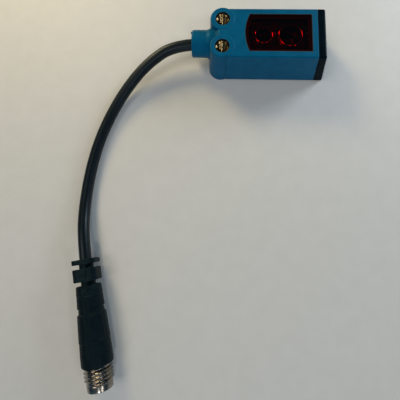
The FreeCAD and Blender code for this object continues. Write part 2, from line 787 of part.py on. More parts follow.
def make_adjuster_screw():
    """The slotted sensitivity adjuster and its spindle."""
    top = "-dial_sink"
    low = "-dial_sink - dial_height"
    head = cylinder("dial_head", "x", "dial_radius", low, top)
    spindle = cylinder("dial_spindle", "x", "spindle_radius", "spindle_end", low)
    slot = box(
        "dial_slot",
        ("-dial_sink - slot_depth", "1"),
        ("-2 * dial_radius", "2 * dial_radius"),
        ("-slot_width / 2", "slot_width / 2"),
    )
    return into_control_frame(cut("adjuster_screw", fuse("dial", head, spindle), slot))


def make_adjuster_ring():
    """The O-ring that keeps dust out round the spindle."""
    span = ("ring_start", "ring_start + ring_height")
    outer = cylinder("ring_blank", "x", "ring_radius", *span)
    bore = cylinder("ring_bore", "x", "spindle_radius + dial_play", *span)
    return into_control_frame(cut("adjuster_ring", outer, bore))


def make_potentiometer():
    """A square hollow body on the control board, with a hole for the spindle."""
    half = "pot_size / 2"
    case = box("pot_case", ("pot_start", "pot_end"), (f"-{half}", half), (f"-{half}", half))
    chamber = ("pot_start + pot_wall", "pot_end - pot_wall")
    room = cylinder("pot_chamber", "x", "pot_room", *chamber)
    hole = cylinder("pot_hole", "x", "spindle_radius + dial_play", chamber[1], "pot_end")
    inside = fuse("pot_inside", room, hole)
    return into_control_frame(cut("potentiometer_body", case, inside))


def make_potentiometer_wiper():
    """The brass disc on the spindle's end that sweeps the resistor track."""
    end = "spindle_end"
    disc = cylinder("wiper_disc", "x", "wiper_radius", f"{end} - wiper_height", end)
    disc.Label = "wiper_disc_blank"
    return into_control_frame(compound("potentiometer_wiper", disc))


def make_control_board():
    board = box(
        "control_board_blank",
        ("pot_start - board_thickness", "pot_start"),
        ("-control_half", "control_half"),
        ("control_low", "control_high"),
    )
    return into_control_frame(compound("control_board", board))


def make_lamp(name, sign):
    """One indicator chip on the control board."""
    center = f"{sign}lamp_offset"
    half = "lamp_size / 2"
    chip = box(
        f"{name}_chip",
        ("pot_start", "pot_start + lamp_height"),
        (f"{center} - {half}", f"{center} + {half}"),
        (f"-{half}", half),
    )
    return into_control_frame(compound(name, chip))


def make_light_pipe(name, sign):
    """A clear rod that brings one indicator's light to the sloping face."""
    across = (f"{sign}lamp_offset", "0")
    rod = cylinder(f"{name}_rod", "x", "pipe_radius", "pipe_start", "pipe_end", across)
    return into_control_frame(compound(name, rod))


def make_cap_seal():
    """A flat gasket round the spigot's root, in the corner between cap and housing."""
    side = "body_width / 2 - side_wall - spigot_gap"
    low = "rear_wall + spigot_gap"
    high = "body_depth - front_wall - spigot_gap"
    start = "spigot_start - cap_seal_width"
    thick = "spigot_wall / 2"
    outer = box("seal_plate", (start, "spigot_start"), (f"-({side})", side), (low, high))
    inner = box(
        "seal_room",
        (start, "spigot_start"),
        (f"-({side} - {thick})", f"{side} - {thick}"),
        (f"{low} + {thick}", f"{high} - {thick}"),
    )
    return cut("cap_seal", outer, inner)


# ---------------------------------------------------------------------------------------------
# Cable and its cores
# ---------------------------------------------------------------------------------------------
def ring_on_cable(name, radius, start, end):
    across = ("0", "neck_height")
    outer = cylinder(f"{name}_blank", "x", radius, start, end, across)
    bore = cylinder(f"{name}_bore", "x", "cable_radius", start, end, across)
    return cut(name, outer, bore)


def make_pigtail_cable():
    """The jacketed cable from inside the neck to the plug's strain relief."""
    radii = bend_radii(CABLE_ROUTE)
    print("cable bend radii:", ", ".join(f"{radius:.1f}" for radius in radii))
    return tube("pigtail_cable", CABLE_ROUTE, radii, size("cable_radius"))


def make_core(name, pad_y, seat):
    """One insulated core from the jacket's end to its pad on the main board."""
    start_y = seat[0] * size("wire_offset")
    start_z = size("neck_height") + seat[1] * size("wire_offset")
    board_top = size("board_bottom") + size("board_thickness")
    corners = [
        (size("cable_start"), start_y, start_z),
        (CORE_BEND_X, start_y, start_z),
        (CORE_PAD_X, pad_y, start_z),
        (CORE_PAD_X, pad_y, board_top),
    ]
    return tube(name, corners, [CORE_BEND_RADIUS] * 2, size("wire_radius"))


# ---------------------------------------------------------------------------------------------
# Plug
# ---------------------------------------------------------------------------------------------
def make_plug_overmould():
    """The moulded grip with its ribbed strain relief."""
    grip = body("plug_overmould")
    profile = sketch_on(grip, "grip_profile", "XY_Plane")
    draw_polygon(
        profile,
        [
            ("0", "0"),
            ("0", "plug_root"),
            ("rib_one_end", "plug_root"),
            ("rib_one_end", "plug_core"),
            ("rib_two_start", "plug_core"),
            ("rib_two_start", "plug_root"),
            ("rib_two_end", "plug_root"),
            ("rib_two_end", "plug_core"),
            ("mould_start", "plug_core"),
            ("mould_start", "plug_root"),
            ("mould_straight", "plug_radius"),
            ("mould_end", "plug_radius - mould_draft"),
            ("mould_end", "nose_radius"),
            ("sleeve_start", "nose_radius"),
            ("sleeve_start", "sleeve_bore"),
            ("contact_seat", "sleeve_bore"),
            ("contact_seat", "0"),
        ],
    )
    revolve(grip, profile)
    for index, sign in enumerate(("", "-"), start=1):
        flat = sketch_on(grip, f"rib_flat_{index}", "XY_Plane", f"{sign}rib_half")
        draw_rectangle(flat, ("-1", "(rib_two_end + mould_start) / 2"), ("-plug_radius", "plug_radius"))
        extrude(grip, "Pocket", flat, "plug_radius", back=(sign == ""))
    return into_plug_frame(grip)


def make_plug_sleeve():
    """The nickel plated M8 sleeve: root in the moulding, thread and plain nose."""
    sleeve = body("plug_threaded_sleeve")
    profile = sketch_on(sleeve, "sleeve_profile", "XY_Plane")
    draw_polygon(
        profile,
        [
            ("sleeve_start", "sleeve_bore"),
            ("sleeve_start", "nose_radius"),
            ("mould_end", "nose_radius"),
            ("mould_end", "thread_radius"),
            ("thread_end", "thread_radius"),
            ("thread_end", "nose_radius"),
            ("plug_end", "nose_radius"),
            ("plug_end", "sleeve_bore"),
        ],
    )
    revolve(sleeve, profile)
    return into_plug_frame(sleeve)


def contact_seats():
    """Centres of the four contacts across the plug, as formulas."""
    seats = []
    for quarter in range(4):
        turn = f"{45 + 90 * quarter} deg"
        seats.append((f"contact_circle * cos({turn})", f"contact_circle * sin({turn})"))
    return seats


def make_contact_carrier():
    """The insulating insert that holds the four contacts."""
    core = cylinder("carrier_core", "x", "sleeve_bore", "carrier_root", "carrier_front")
    holes = []
    for index, seat in enumerate(contact_seats(), start=1):
        span = ("carrier_root", "carrier_front")
        holes.append(cylinder(f"contact_hole_{index}", "x", "contact_radius", *span, seat))
    drilled = cut("plug_contact_carrier", core, fuse("contact_holes", *holes))
    return into_plug_frame(drilled)


def make_contacts():
    """Four gold plated contact pins."""
    pins = []
    for index, seat in enumerate(contact_seats(), start=1):
        span = ("contact_root", "contact_front")
        pins.append(cylinder(f"contact_{index}", "x", "contact_radius", *span, seat))
    return into_plug_frame(compound("plug_contacts", *pins))


# ---------------------------------------------------------------------------------------------
# Assembly
# ---------------------------------------------------------------------------------------------
def make_drilled_cap():
    """The finished cap, with the openings that are square to its sloping face."""
    blank = make_head_cap()
    blank.Label = "head_cap_blank"
    drilled = cut("drilled_cap", blank, make_control_holes())
    drilled.Label = "head_cap"
    return drilled


def make_all():
    fill_sheet()
    nodes = [
        make_housing(),
        make_threaded_inserts(),
        make_front_window(),
        make_window_seal(),
        make_optics_carrier(),
        make_lens("emitter"),
        make_lens("receiver"),
        make_main_board(),
        make_emitter_led(),
        make_receiver_photodiode(),
        make_receiver_shield(),
        make_sensor_chip(),
        make_board_capacitors(),
        make_board_link_pins(),
        make_drilled_cap(),
        make_cap_seal(),
        make_adjuster_screw(),
        make_adjuster_ring(),
        make_potentiometer(),
        make_potentiometer_wiper(),
        make_control_board(),
        make_lamp("power_led", ""),
        make_lamp("signal_led", "-"),
        make_light_pipe("power_light_pipe", ""),
        make_light_pipe("signal_light_pipe", "-"),
        ring_on_cable("cable_grommet", "neck_bore", "grommet_start", "grommet_end"),
        ring_on_cable("cable_clamp", "clamp_radius", "clamp_start", "clamp_end"),
        make_pigtail_cable(),
        *[make_core(*core) for core in CORES],
        make_plug_overmould(),
        make_plug_sleeve(),
        make_contact_carrier(),
        make_contacts(),
    ]
    doc.recompute()
    return nodes


def check_document(nodes):
    """Stop before anything is written if a feature failed or a shape is unsound."""
    failed = [item.Name for item in doc.Objects if {"Invalid", "Error"} & set(item.State)]
    if failed:
        raise RuntimeError(f"features that failed: {failed}")
    for node in nodes:
        if node.Shape.isNull() or not node.Shape.isValid():
            raise RuntimeError(f"{node.Label} has no valid shape")
        if not node.Shape.Solids:
            raise RuntimeError(f"{node.Label} has no solid")


def write_parts(nodes):
    os.makedirs("parts", exist_ok=True)
    for node in nodes:
        node.Shape.exportStep(f"parts/{node.Label}.step")
        bounds = node.Shape.BoundBox
        print(
            f"{node.Label:24s} solids {len(node.Shape.Solids)} volume {node.Shape.Volume:9.3f}"
            f"  x {bounds.XMin:7.2f} {bounds.XMax:7.2f}"
            f"  y {bounds.YMin:7.2f} {bounds.YMax:7.2f}"
            f"  z {bounds.ZMin:6.2f} {bounds.ZMax:6.2f}"
        )


all_nodes = make_all()
check_document(all_nodes)
write_parts(all_nodes)
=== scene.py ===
import json
import math

import bmesh
import bpy
from mathutils import Euler, Matrix, Vector


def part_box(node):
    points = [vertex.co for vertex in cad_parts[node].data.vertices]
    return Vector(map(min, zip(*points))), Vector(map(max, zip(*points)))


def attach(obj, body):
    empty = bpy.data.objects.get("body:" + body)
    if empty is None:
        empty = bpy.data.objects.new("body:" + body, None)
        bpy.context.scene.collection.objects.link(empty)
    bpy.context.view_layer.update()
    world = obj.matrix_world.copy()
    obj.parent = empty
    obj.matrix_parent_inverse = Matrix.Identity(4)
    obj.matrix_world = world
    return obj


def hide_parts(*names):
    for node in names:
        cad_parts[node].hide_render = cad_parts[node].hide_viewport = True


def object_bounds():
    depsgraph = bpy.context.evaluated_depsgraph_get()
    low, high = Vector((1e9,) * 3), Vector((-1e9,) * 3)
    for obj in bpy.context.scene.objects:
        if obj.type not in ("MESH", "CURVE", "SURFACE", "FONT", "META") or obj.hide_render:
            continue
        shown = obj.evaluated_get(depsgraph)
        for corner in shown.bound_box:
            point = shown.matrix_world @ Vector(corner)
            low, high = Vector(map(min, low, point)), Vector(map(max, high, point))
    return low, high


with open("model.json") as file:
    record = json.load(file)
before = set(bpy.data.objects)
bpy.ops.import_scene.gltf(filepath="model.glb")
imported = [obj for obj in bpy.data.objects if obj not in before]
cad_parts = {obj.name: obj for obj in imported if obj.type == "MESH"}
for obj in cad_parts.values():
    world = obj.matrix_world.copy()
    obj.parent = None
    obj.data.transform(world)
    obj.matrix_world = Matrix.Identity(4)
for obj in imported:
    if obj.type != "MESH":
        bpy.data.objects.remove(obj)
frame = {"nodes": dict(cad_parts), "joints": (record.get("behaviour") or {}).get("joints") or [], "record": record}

# A miniature photoelectric sensor with a pigtail cable and an M8 plug. The shapes below are
# worked out in millimetres in the frame of the CAD model and scaled to metres once, when a
# piece is published. The camera, the cable's route and the lights are in metres.
MM = 0.001
CAD_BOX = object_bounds()


def box_of(node):
    """A CAD node's lowest and highest corner in millimetres."""
    low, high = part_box(node)
    return low / MM, high / MM


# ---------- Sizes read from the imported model, in millimetres ----------
SHELL_LOW, SHELL_HIGH = box_of("housing")
CAP_HIGH = box_of("head_cap")[1]
INSERT_LOW, INSERT_HIGH = box_of("threaded_inserts")
PANE_LOW, PANE_HIGH = box_of("front_window")
SEAT_LOW, SEAT_HIGH = box_of("window_seal")
GROMMET_LOW, GROMMET_HIGH = box_of("cable_grommet")
CARRIER_LOW, CARRIER_HIGH = box_of("optics_carrier")

HALF_WIDTH = CAP_HIGH.y
DEPTH = CAP_HIGH.z
NECK_END = SHELL_LOW.x
HEAD_REAR = CAP_HIGH.x
SPLIT_REAR = SHELL_HIGH.x
LUG_X = (INSERT_LOW.x + INSERT_HIGH.x) / 2
INSERT_RADIUS = (INSERT_HIGH.x - INSERT_LOW.x) / 2
LUG_Y = INSERT_HIGH.y - INSERT_RADIUS
LUG_RADIUS = SHELL_HIGH.y - LUG_Y
LUG_TOP = SHELL_HIGH.z
NECK_Z = (GROMMET_LOW.z + GROMMET_HIGH.z) / 2
NECK_BORE = (GROMMET_HIGH.z - GROMMET_LOW.z) / 2

# ---------- Sizes that the boxes don't give, the same as in the CAD model ----------
FLAT_START = -10.4
WEB_START = -14.3
SPLIT_FRONT = 16.2
HEAD_FRONT = 18.5
EDGE_ROUND = 0.5
SIDE_WALL = 1.4
REAR_WALL = 1.2
FRONT_WALL = 2.0
CAVITY_START = -9.2
NECK_RADIUS = 3.9
COLLAR_RADIUS = 4.25
COLLAR_START = -16.0
WINDOW_ARC = 14.9
WINDOW_ARC_CENTER = 9.5
SEAL_WIDTH = 0.22
OPENING_INSET = 1.12
CABLE_RADIUS = 1.7

ALONG_X = Matrix.Identity(4)
# A turned form's own axis is x; this one stands it up, so that x runs along +Z.
UPRIGHT = Matrix(((0, 1, 0, 0), (0, 0, 1, 0), (1, 0, 0, 0), (0, 0, 0, 1)))


# ---------- Camera and cable ----------
def make_camera():
    """The viewpoint above the cable, looking almost straight down."""
    data = bpy.data.cameras.new("camera")
    data.lens = 26.01
    data.sensor_width = 36.0
    data.shift_x = 0.00125
    data.clip_start = 0.005
    data.clip_end = 20.0
    camera = bpy.data.objects.new("camera", data)
    camera.location = (-0.014898, -0.062785, 0.089722)
    tilt = [math.radians(angle) for angle in (8.757, 1.5615, 1.768)]
    camera.rotation_euler = Euler(tilt, "XYZ")
    bpy.context.scene.collection.objects.link(camera)
    bpy.context.scene.camera = camera


# The cable's route in metres: the points that the CAD model's tube turns at.
CABLE_ROUTE = [
    (-0.0156, 0.0, 0.0066),
    (-0.0266, 0.0, 0.0066),
    (-0.0358, -0.0058, 0.0048),
    (-0.0425, -0.0133, 0.0028),
    (-0.0475, -0.0222, 0.0017),
    (-0.0509, -0.0324, 0.0017),
    (-0.0527, -0.0430, 0.0017),
    (-0.0531, -0.0530, 0.0022),
    (-0.05194, -0.06086, 0.0042),
    (-0.0504, -0.0681, 0.00445),
]


def make_cable(material):
    """The jacketed cable: a smooth NURBS line with a round section."""
    curve = bpy.data.curves.new("cable_jacket", "CURVE")
    curve.dimensions = "3D"
    spline = curve.splines.new("NURBS")
    spline.points.add(len(CABLE_ROUTE) - 1)
    for point, place in zip(spline.points, CABLE_ROUTE):
        point.co = (*place, 1.0)
    spline.order_u = 3
    spline.use_endpoint_u = True
    spline.resolution_u = 16
    curve.bevel_depth = CABLE_RADIUS * MM
    curve.bevel_resolution = 10
    curve.use_fill_caps = True
    curve.materials.append(material)
    cable = bpy.data.objects.new("cable_jacket", curve)
    bpy.context.scene.collection.objects.link(cable)
    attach(cable, "sensor")
    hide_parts("pigtail_cable")
    return cable


# ---------- Mesh helpers, in millimetres ----------
def rounded(corners, radius, closed=True, steps=4):
    """An outline with its corners rounded. A corner may name its own radius as a third value."""
    count = len(corners)
    outline = []
    for index, corner in enumerate(corners):
        here = Vector(corner[:2])
        own = corner[2] if len(corner) > 2 else radius
        at_end = not closed and index in (0, count - 1)
        before = Vector(corners[index - 1][:2]) - here
        after = Vector(corners[(index + 1) % count][:2]) - here
        turn = 0 if at_end else math.pi - before.angle(after)
        if own == 0 or turn < 0.02:
            outline.append(here)
            continue
        reach = min(own * math.tan(turn / 2), 0.45 * before.length, 0.45 * after.length)
        first = here + before.normalized() * reach
        last = here + after.normalized() * reach
        for step in range(steps + 1):
            share = step / steps
            outline.append(first.lerp(here, share).lerp(here.lerp(last, share), share))
    return outline


def as_object(mesh, name="solid"):
    """A scene object from a bmesh, with its faces turned outwards."""
    bmesh.ops.remove_doubles(mesh, verts=mesh.verts, dist=1e-5)
    bmesh.ops.recalc_face_normals(mesh, faces=mesh.faces)
    data = bpy.data.meshes.new(name)
    mesh.to_mesh(data)
    mesh.free()
    item = bpy.data.objects.new(name, data)
    bpy.context.scene.collection.objects.link(item)
    return item


def turned(profile, place=ALONG_X, segments=96, shape=None):
    """A lathe form about the place's x axis. The profile's points are (along, radius): it
    starts and ends on the axis, or else closes on itself as a ring's section."""
    mesh = bmesh.new()
    rings = []
    for along, radius in profile:
        if radius < 1e-6:
            rings.append([mesh.verts.new(place @ Vector((along, 0, 0)))])
            continue
        ring = []
        for step in range(segments):
            angle = 2 * math.pi * step / segments
            reach = shape(along, radius, angle) if shape else radius
            spot = Vector((along, reach * math.cos(angle), reach * math.sin(angle)))
            ring.append(mesh.verts.new(place @ spot))
        rings.append(ring)
    pairs = list(zip(rings, rings[1:]))
    if len(rings[0]) > 1:
        pairs.append((rings[-1], rings[0]))
    for one, two in pairs:
        for step in range(segments):
            after = (step + 1) % segments
            loop = [one[step % len(one)], two[step % len(two)]]
            loop += [two[after % len(two)], one[after % len(one)]]
            corners = list(dict.fromkeys(loop))
            if len(corners) > 2:
                mesh.faces.new(corners)
    return as_object(mesh)


def prism(outline, low, high, place=ALONG_X, bevel=0.0, lower_bevel=0.0):
    """An outline in the place's x and y, raised from low to high along its z. low and high may
    be functions of the outline's point."""
    mesh = bmesh.new()
    level = [value if callable(value) else (lambda x, y, v=value: v) for value in (low, high)]
    rims = []
    for height in level:
        rims.append([mesh.verts.new(place @ Vector((x, y, height(x, y)))) for x, y in outline])
    count = len(outline)
    for index in range(count):
        after = (index + 1) % count
        mesh.faces.new((rims[0][index], rims[0][after], rims[1][after], rims[1][index]))
    for rim in rims:
        mesh.faces.new(rim)
    for rim, width in zip(rims, (lower_bevel, bevel)):
        if width:
            chosen = set(rim)
            edges = [edge for edge in mesh.edges if set(edge.verts) <= chosen]
            bmesh.ops.bevel(
                mesh, geom=edges, offset=width, segments=3, profile=0.5, affect="EDGES"
            )
    return as_object(mesh)


def loft(rings):
    """A closed form through rings of equally many points, with a flat face at each end."""
    mesh = bmesh.new()
    made = [[mesh.verts.new(point) for point in ring] for ring in rings]
    count = len(made[0])
    for one, two in zip(made, made[1:]):
        for index in range(count):
            after = (index + 1) % count
            mesh.faces.new((one[index], one[after], two[after], two[index]))
    mesh.faces.new(made[0])
    mesh.faces.new(made[-1])
    return as_object(mesh)


def brick(low, high, round_off=0.0, place=ALONG_X):
    """A box between two corners, with all its edges rounded."""
    mesh = bmesh.new()
    bmesh.ops.create_cube(mesh, size=1.0)
    low, high = Vector(low), Vector(high)
    for vert in mesh.verts:
        share = vert.co + Vector((0.5, 0.5, 0.5))
        vert.co = [a + (b - a) * t for a, b, t in zip(low, high, share)]
    if round_off:
        bmesh.ops.bevel(
            mesh, geom=mesh.edges[:], offset=round_off, segments=3, profile=0.5, affect="EDGES"
        )
    bmesh.ops.transform(mesh, matrix=place, verts=mesh.verts)
    return as_object(mesh)


def settle(item):
    """Give an object the mesh that its modifiers make."""
    graph = bpy.context.evaluated_depsgraph_get()
    made = bpy.data.meshes.new_from_object(item.evaluated_get(graph))
    item.modifiers.clear()
    item.data = made


def combine(base, tools, operation):
    """Join tools to a base, cut them from it, or keep what they share, one after another."""
    for tool in tools:
        modifier = base.modifiers.new("combine", "BOOLEAN")
        modifier.operation = operation
        modifier.solver = "EXACT"
        modifier.object = tool
        settle(base)
        bpy.data.objects.remove(tool)
    return base


def merged(items):
    """Several separate solids as one object."""
    mesh = bmesh.new()
    for item in items:
        mesh.from_mesh(item.data)
        bpy.data.objects.remove(item)
    return as_object(mesh)


# One thread turn as (share of the pitch, share of the height).
THREAD_TURN = [(0.0, 0.9), (0.06, 1.0), (0.12, 0.9), (0.43, 0.06), (0.56, 0.0), (0.69, 0.06)]


def threaded_tube(plain, root, crest, pitch, start, end, place, segments=72, mouth=None):
    """A tube with a right-hand helical thread on one wall and a plain other wall. mouth widens
    or narrows the threaded wall near its ends, from (along, radius)."""
    mesh = bmesh.new()
    per_turn = len(THREAD_TURN)
    turns = math.ceil((end - start) / pitch) + 2
    columns = []
    for step in range(segments):
        angle = 2 * math.pi * step / segments
        column = []
        for row in range(turns * per_turn + 1):
            share, height = THREAD_TURN[row % per_turn]
            along = start + (row // per_turn - 1 + share + step / segments) * pitch
            along = min(max(along, start), end)
            fade = min(1.0, min(along - start, end - along) / (0.7 * pitch))
            reach = root + (crest - root) * height * fade * fade * (3 - 2 * fade)
            if mouth:
                reach = mouth(along, reach)
            spot = Vector((along, reach * math.cos(angle), reach * math.sin(angle)))
            column.append(mesh.verts.new(place @ spot))
        for along in (end, start):
            spot = Vector((along, plain * math.cos(angle), plain * math.sin(angle)))
            column.append(mesh.verts.new(place @ spot))
        columns.append(column)
    last = turns * per_turn
    for step in range(segments):
        here = columns[step]
        after = columns[(step + 1) % segments]
        shift = per_turn if step == segments - 1 else 0
        for row in range(last):
            low = min(row + shift, last)
            high = min(row + 1 + shift, last)
            corners = [here[row], here[row + 1], after[high], after[low]]
            corners = list(dict.fromkeys(corners))
            if len(corners) > 2:
                mesh.faces.new(corners)
        for one, two in ((last, last + 1), (last + 1, last + 2)):
            mesh.faces.new((here[one], here[two], after[two], after[one]))
        mesh.faces.new((here[last + 2], here[0], after[min(shift, last)], after[last + 2]))
    bmesh.ops.remove_doubles(mesh, verts=mesh.verts, dist=1e-4)
    bmesh.ops.dissolve_degenerate(mesh, edges=mesh.edges, dist=1e-4)
    return as_object(mesh)


def publish(item, name, material, replaced, body="sensor", crease=32):
    """Turn a finished solid into a piece: metres, smooth shading, material, body and slot."""
    item.name = name
    item.data.name = name
    item.data.transform(Matrix.Scale(MM, 4))
    item.data.materials.clear()
    item.data.materials.append(material)
    item.data.polygons.foreach_set("material_index", [0] * len(item.data.polygons))
    item.data.shade_smooth()
    item.data.set_sharp_from_angle(angle=math.radians(crease))
    weighted = item.modifiers.new("weighted", "WEIGHTED_NORMAL")
    weighted.keep_sharp = True
    weighted.weight = 80
    settle(item)
    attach(item, body)
    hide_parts(*replaced)
    return item


# ---------- Materials ----------
FINISH = "_finish"


def add_node(material, kind, **settings):
    """A node with its inputs or properties set by name; double underscores stand for spaces."""
    node = material.node_tree.nodes.new(kind)
    for key, value in settings.items():
        title = key.replace("__", " ")
        if title in node.inputs:
            node.inputs[title].default_value = value
        else:
            setattr(node, key, value)
    return node


def wire(material, source, target):
    """Link an output socket to an input socket."""
    material.node_tree.links.new(source, target)


def coordinates(material, stretch=(1, 1, 1), turn=0.0):
    """Object coordinates in metres, stretched, after a turn about the vertical."""
    place = add_node(material, "ShaderNodeTexCoord")
    mapping = add_node(material, "ShaderNodeMapping")
    mapping.vector_type = "TEXTURE"
    mapping.inputs["Rotation"].default_value = (0, 0, math.radians(turn))
    mapping.inputs["Scale"].default_value = stretch
    wire(material, place.outputs["Object"], mapping.inputs["Vector"])
    return mapping.outputs["Vector"]


def noise(material, place, size, detail=3.0, roughness=0.55):
    """Noise whose features are about this many millimetres across."""
    node = add_node(material, "ShaderNodeTexNoise", Scale=1 / (size * MM), Detail=detail)
    node.inputs["Roughness"].default_value = roughness
    wire(material, place, node.inputs["Vector"])
    return node.outputs["Fac"]


def ranged(material, value, low, high, from_low=0.3, from_high=0.7):
    """A value mapped from the middle of a noise's range to another range."""
    node = add_node(material, "ShaderNodeMapRange")
    node.inputs["From Min"].default_value = from_low
    node.inputs["From Max"].default_value = from_high
    node.inputs["To Min"].default_value = low
    node.inputs["To Max"].default_value = high
    wire(material, value, node.inputs["Value"])
    return node.outputs["Result"]


def mixed(material, share, one, two):
    """A colour between two others, each a plain colour or a socket."""
    node = add_node(material, "ShaderNodeMix", data_type="RGBA")
    wire(material, share, node.inputs["Factor"])
    for value, title in ((one, "A"), (two, "B")):
        socket = next(s for s in node.inputs if s.name == title and s.type == "RGBA")
        if isinstance(value, tuple):
            socket.default_value = (*value, 1)
        else:
            wire(material, value, socket)
    return next(s for s in node.outputs if s.type == "RGBA")


def bumped(material, height, depth, strength=1.0, normal=None):
    """A relief of this depth in millimetres."""
    node = add_node(material, "ShaderNodeBump", Distance=depth * MM, Strength=strength)
    wire(material, height, node.inputs["Height"])
    if normal:
        wire(material, normal, node.inputs["Normal"])
    return node.outputs["Normal"]


def edge_share(material, radius):
    """How near a point is to a sharp edge, from 0 to 1 within this many millimetres."""
    soft = add_node(material, "ShaderNodeBevel", samples=4, Radius=radius * MM)
    plain = add_node(material, "ShaderNodeNewGeometry")
    product = add_node(material, "ShaderNodeVectorMath", operation="DOT_PRODUCT")
    wire(material, soft.outputs["Normal"], product.inputs[0])
    wire(material, plain.outputs["Normal"], product.inputs[1])
    return ranged(material, product.outputs["Value"], 1.0, 0.0, 0.9, 0.995)


def by_height(material, low, high, below, above):
    """One value below a height band and another above it. The band is in millimetres."""
    parts = add_node(material, "ShaderNodeSeparateXYZ")
    wire(material, coordinates(material), parts.inputs["Vector"])
    return ranged(material, parts.outputs["Z"], below, above, low * MM, high * MM)


def surface(
    name, dark, light, patch, gloss, grain, relief, stretch=(1, 1, 1), turn=0.0, edge_highlight=None, **plain
):
    """A finish whose colour is mottled between two colours over patches of this size, whose
    roughness varies between two values, and whose fine grain has a relief. All sizes are
    millimetres. The edge colour and width, when given, paint a lighter line along its sharp
    edges: a painted highlight that stands in for light catching them."""
    material = bpy.data.materials.new(name + FINISH)
    material.use_nodes = True
    shader = material.node_tree.nodes["Principled BSDF"]
    place = coordinates(material, stretch, turn)
    broad = ranged(material, noise(material, place, patch, 4.0), 0.0, 1.0)
    colour = mixed(material, broad, dark, light)
    # Painted highlight: a lighter colour along the sharp edges, standing in for light catching them.
    if edge_highlight:
        colour = mixed(material, edge_share(material, edge_highlight[1]), colour, edge_highlight[0])
    wire(material, colour, shader.inputs["Base Color"])
    rough = ranged(material, noise(material, place, patch * 0.37, 5.0), *gloss)
    wire(material, rough, shader.inputs["Roughness"])
    fine = noise(material, place, grain, 2.0)
    wire(material, bumped(material, fine, relief), shader.inputs["Normal"])
    for title, value in plain.items():
        shader.inputs[title.replace("__", " ")].default_value = value
    return material


def polish_above(material, height, colour):
    """Make what stands above this height, in millimetres, a polished metal of this colour."""
    share = by_height(material, height - 0.05, height, 0.0, 1.0)
    shader = material.node_tree.nodes["Principled BSDF"]
    base = shader.inputs["Base Color"].links[0].from_socket
    wire(material, mixed(material, share, base, colour), shader.inputs["Base Color"])
    wire(material, share, shader.inputs["Metallic"])


def let_lamps_through(material, tint):
    """Let lamplight and mirrored light pass clear plastic, tinted as the plastic tints it."""
    path = add_node(material, "ShaderNodeLightPath")
    clear = add_node(material, "ShaderNodeBsdfTransparent", Color=(*tint, 1))
    shader = material.node_tree.nodes["Principled BSDF"].outputs["BSDF"]
    for kind in ("Is Glossy Ray", "Is Shadow Ray"):
        mix = add_node(material, "ShaderNodeMixShader")
        wire(material, path.outputs[kind], mix.inputs["Fac"])
        wire(material, shader, mix.inputs[1])
        wire(material, clear.outputs["BSDF"], mix.inputs[2])
        shader = mix.outputs["Shader"]
    output = material.node_tree.nodes["Material Output"]
    wire(material, shader, output.inputs["Surface"])


def make_seal_rubber():
    """Black rubber whose hidden foot, under the pane, is a browner moulding skin."""
    material = surface(
        "seal_rubber", (0.006, 0.006, 0.007), (0.012, 0.012, 0.013), 1.5, (0.45, 0.65), 0.12, 0.01
    )
    shader = material.node_tree.nodes["Principled BSDF"]
    share = by_height(material, PANE_LOW.z, PANE_LOW.z + 0.02, 1.0, 0.0)
    black = shader.inputs["Base Color"].links[0].from_socket
    wire(material, mixed(material, share, black, (0.012, 0.009, 0.008)), shader.inputs["Base Color"])
    return material


def make_board_green():
    """Solder resist over a grid of tracks and small tinned pads."""
    material = surface(
        "board_green", (0.004, 0.07, 0.028), (0.008, 0.11, 0.045), 2.0, (0.2, 0.35), 0.2, 0.006
    )
    shader = material.node_tree.nodes["Principled BSDF"]
    place = coordinates(material)
    track = add_node(material, "ShaderNodeTexBrick", Scale=1 / (2.2 * MM), Mortar__Size=0.035)
    track.inputs["Color1"].default_value = (0, 0, 0, 1)
    track.inputs["Color2"].default_value = (0, 0, 0, 1)
    track.inputs["Mortar"].default_value = (1, 1, 1, 1)
    wire(material, place, track.inputs["Vector"])
    resist = shader.inputs["Base Color"].links[0].from_socket
    tracks = mixed(material, track.outputs["Color"], resist, (0.02, 0.2, 0.07))
    pads = add_node(material, "ShaderNodeTexVoronoi", Scale=1 / (1.9 * MM), Randomness=0.35)
    wire(material, place, pads.inputs["Vector"])
    spot = ranged(material, pads.outputs["Distance"], 1.0, 0.0, 0.14, 0.17)
    wire(material, mixed(material, spot, tracks, (0.6, 0.58, 0.52)), shader.inputs["Base Color"])
    return material


PLUG_TURN = -78.0

# Finishes with no more to them: dark and light colour, patch size, gloss, grain size, relief.
PLAIN_FINISHES = {
    "led_package": ((0.62, 0.6, 0.54), (0.78, 0.76, 0.7), 0.8, (0.3, 0.45), 0.1, 0.004),
    "chip_package": ((0.01, 0.01, 0.011), (0.022, 0.022, 0.024), 1.1, (0.5, 0.7), 0.07, 0.008),
    "ceramic": ((0.36, 0.24, 0.14), (0.54, 0.4, 0.26), 0.5, (0.4, 0.6), 0.06, 0.004),
    "grommet_rubber": ((0.006, 0.007, 0.008), (0.014, 0.015, 0.017), 0.9, (0.5, 0.7), 0.1, 0.008),
    "insert_plastic": ((0.008, 0.008, 0.009), (0.018, 0.018, 0.019), 1.2, (0.4, 0.55), 0.12, 0.006),
}
INSULATION_COLOURS = {
    "brown": ((0.08, 0.026, 0.01), (0.12, 0.042, 0.016)),
    "white": ((0.66, 0.65, 0.6), (0.78, 0.77, 0.73)),
    "blue": ((0.01, 0.05, 0.3), (0.018, 0.08, 0.4)),
    "black": ((0.006, 0.006, 0.007), (0.014, 0.014, 0.015)),
}
LIGHT_PIPE_COLOURS = {
    "power": ((0.16, 0.55, 0.22), (0.25, 0.68, 0.32)),
    "signal": ((0.75, 0.42, 0.05), (0.88, 0.55, 0.1)),
}


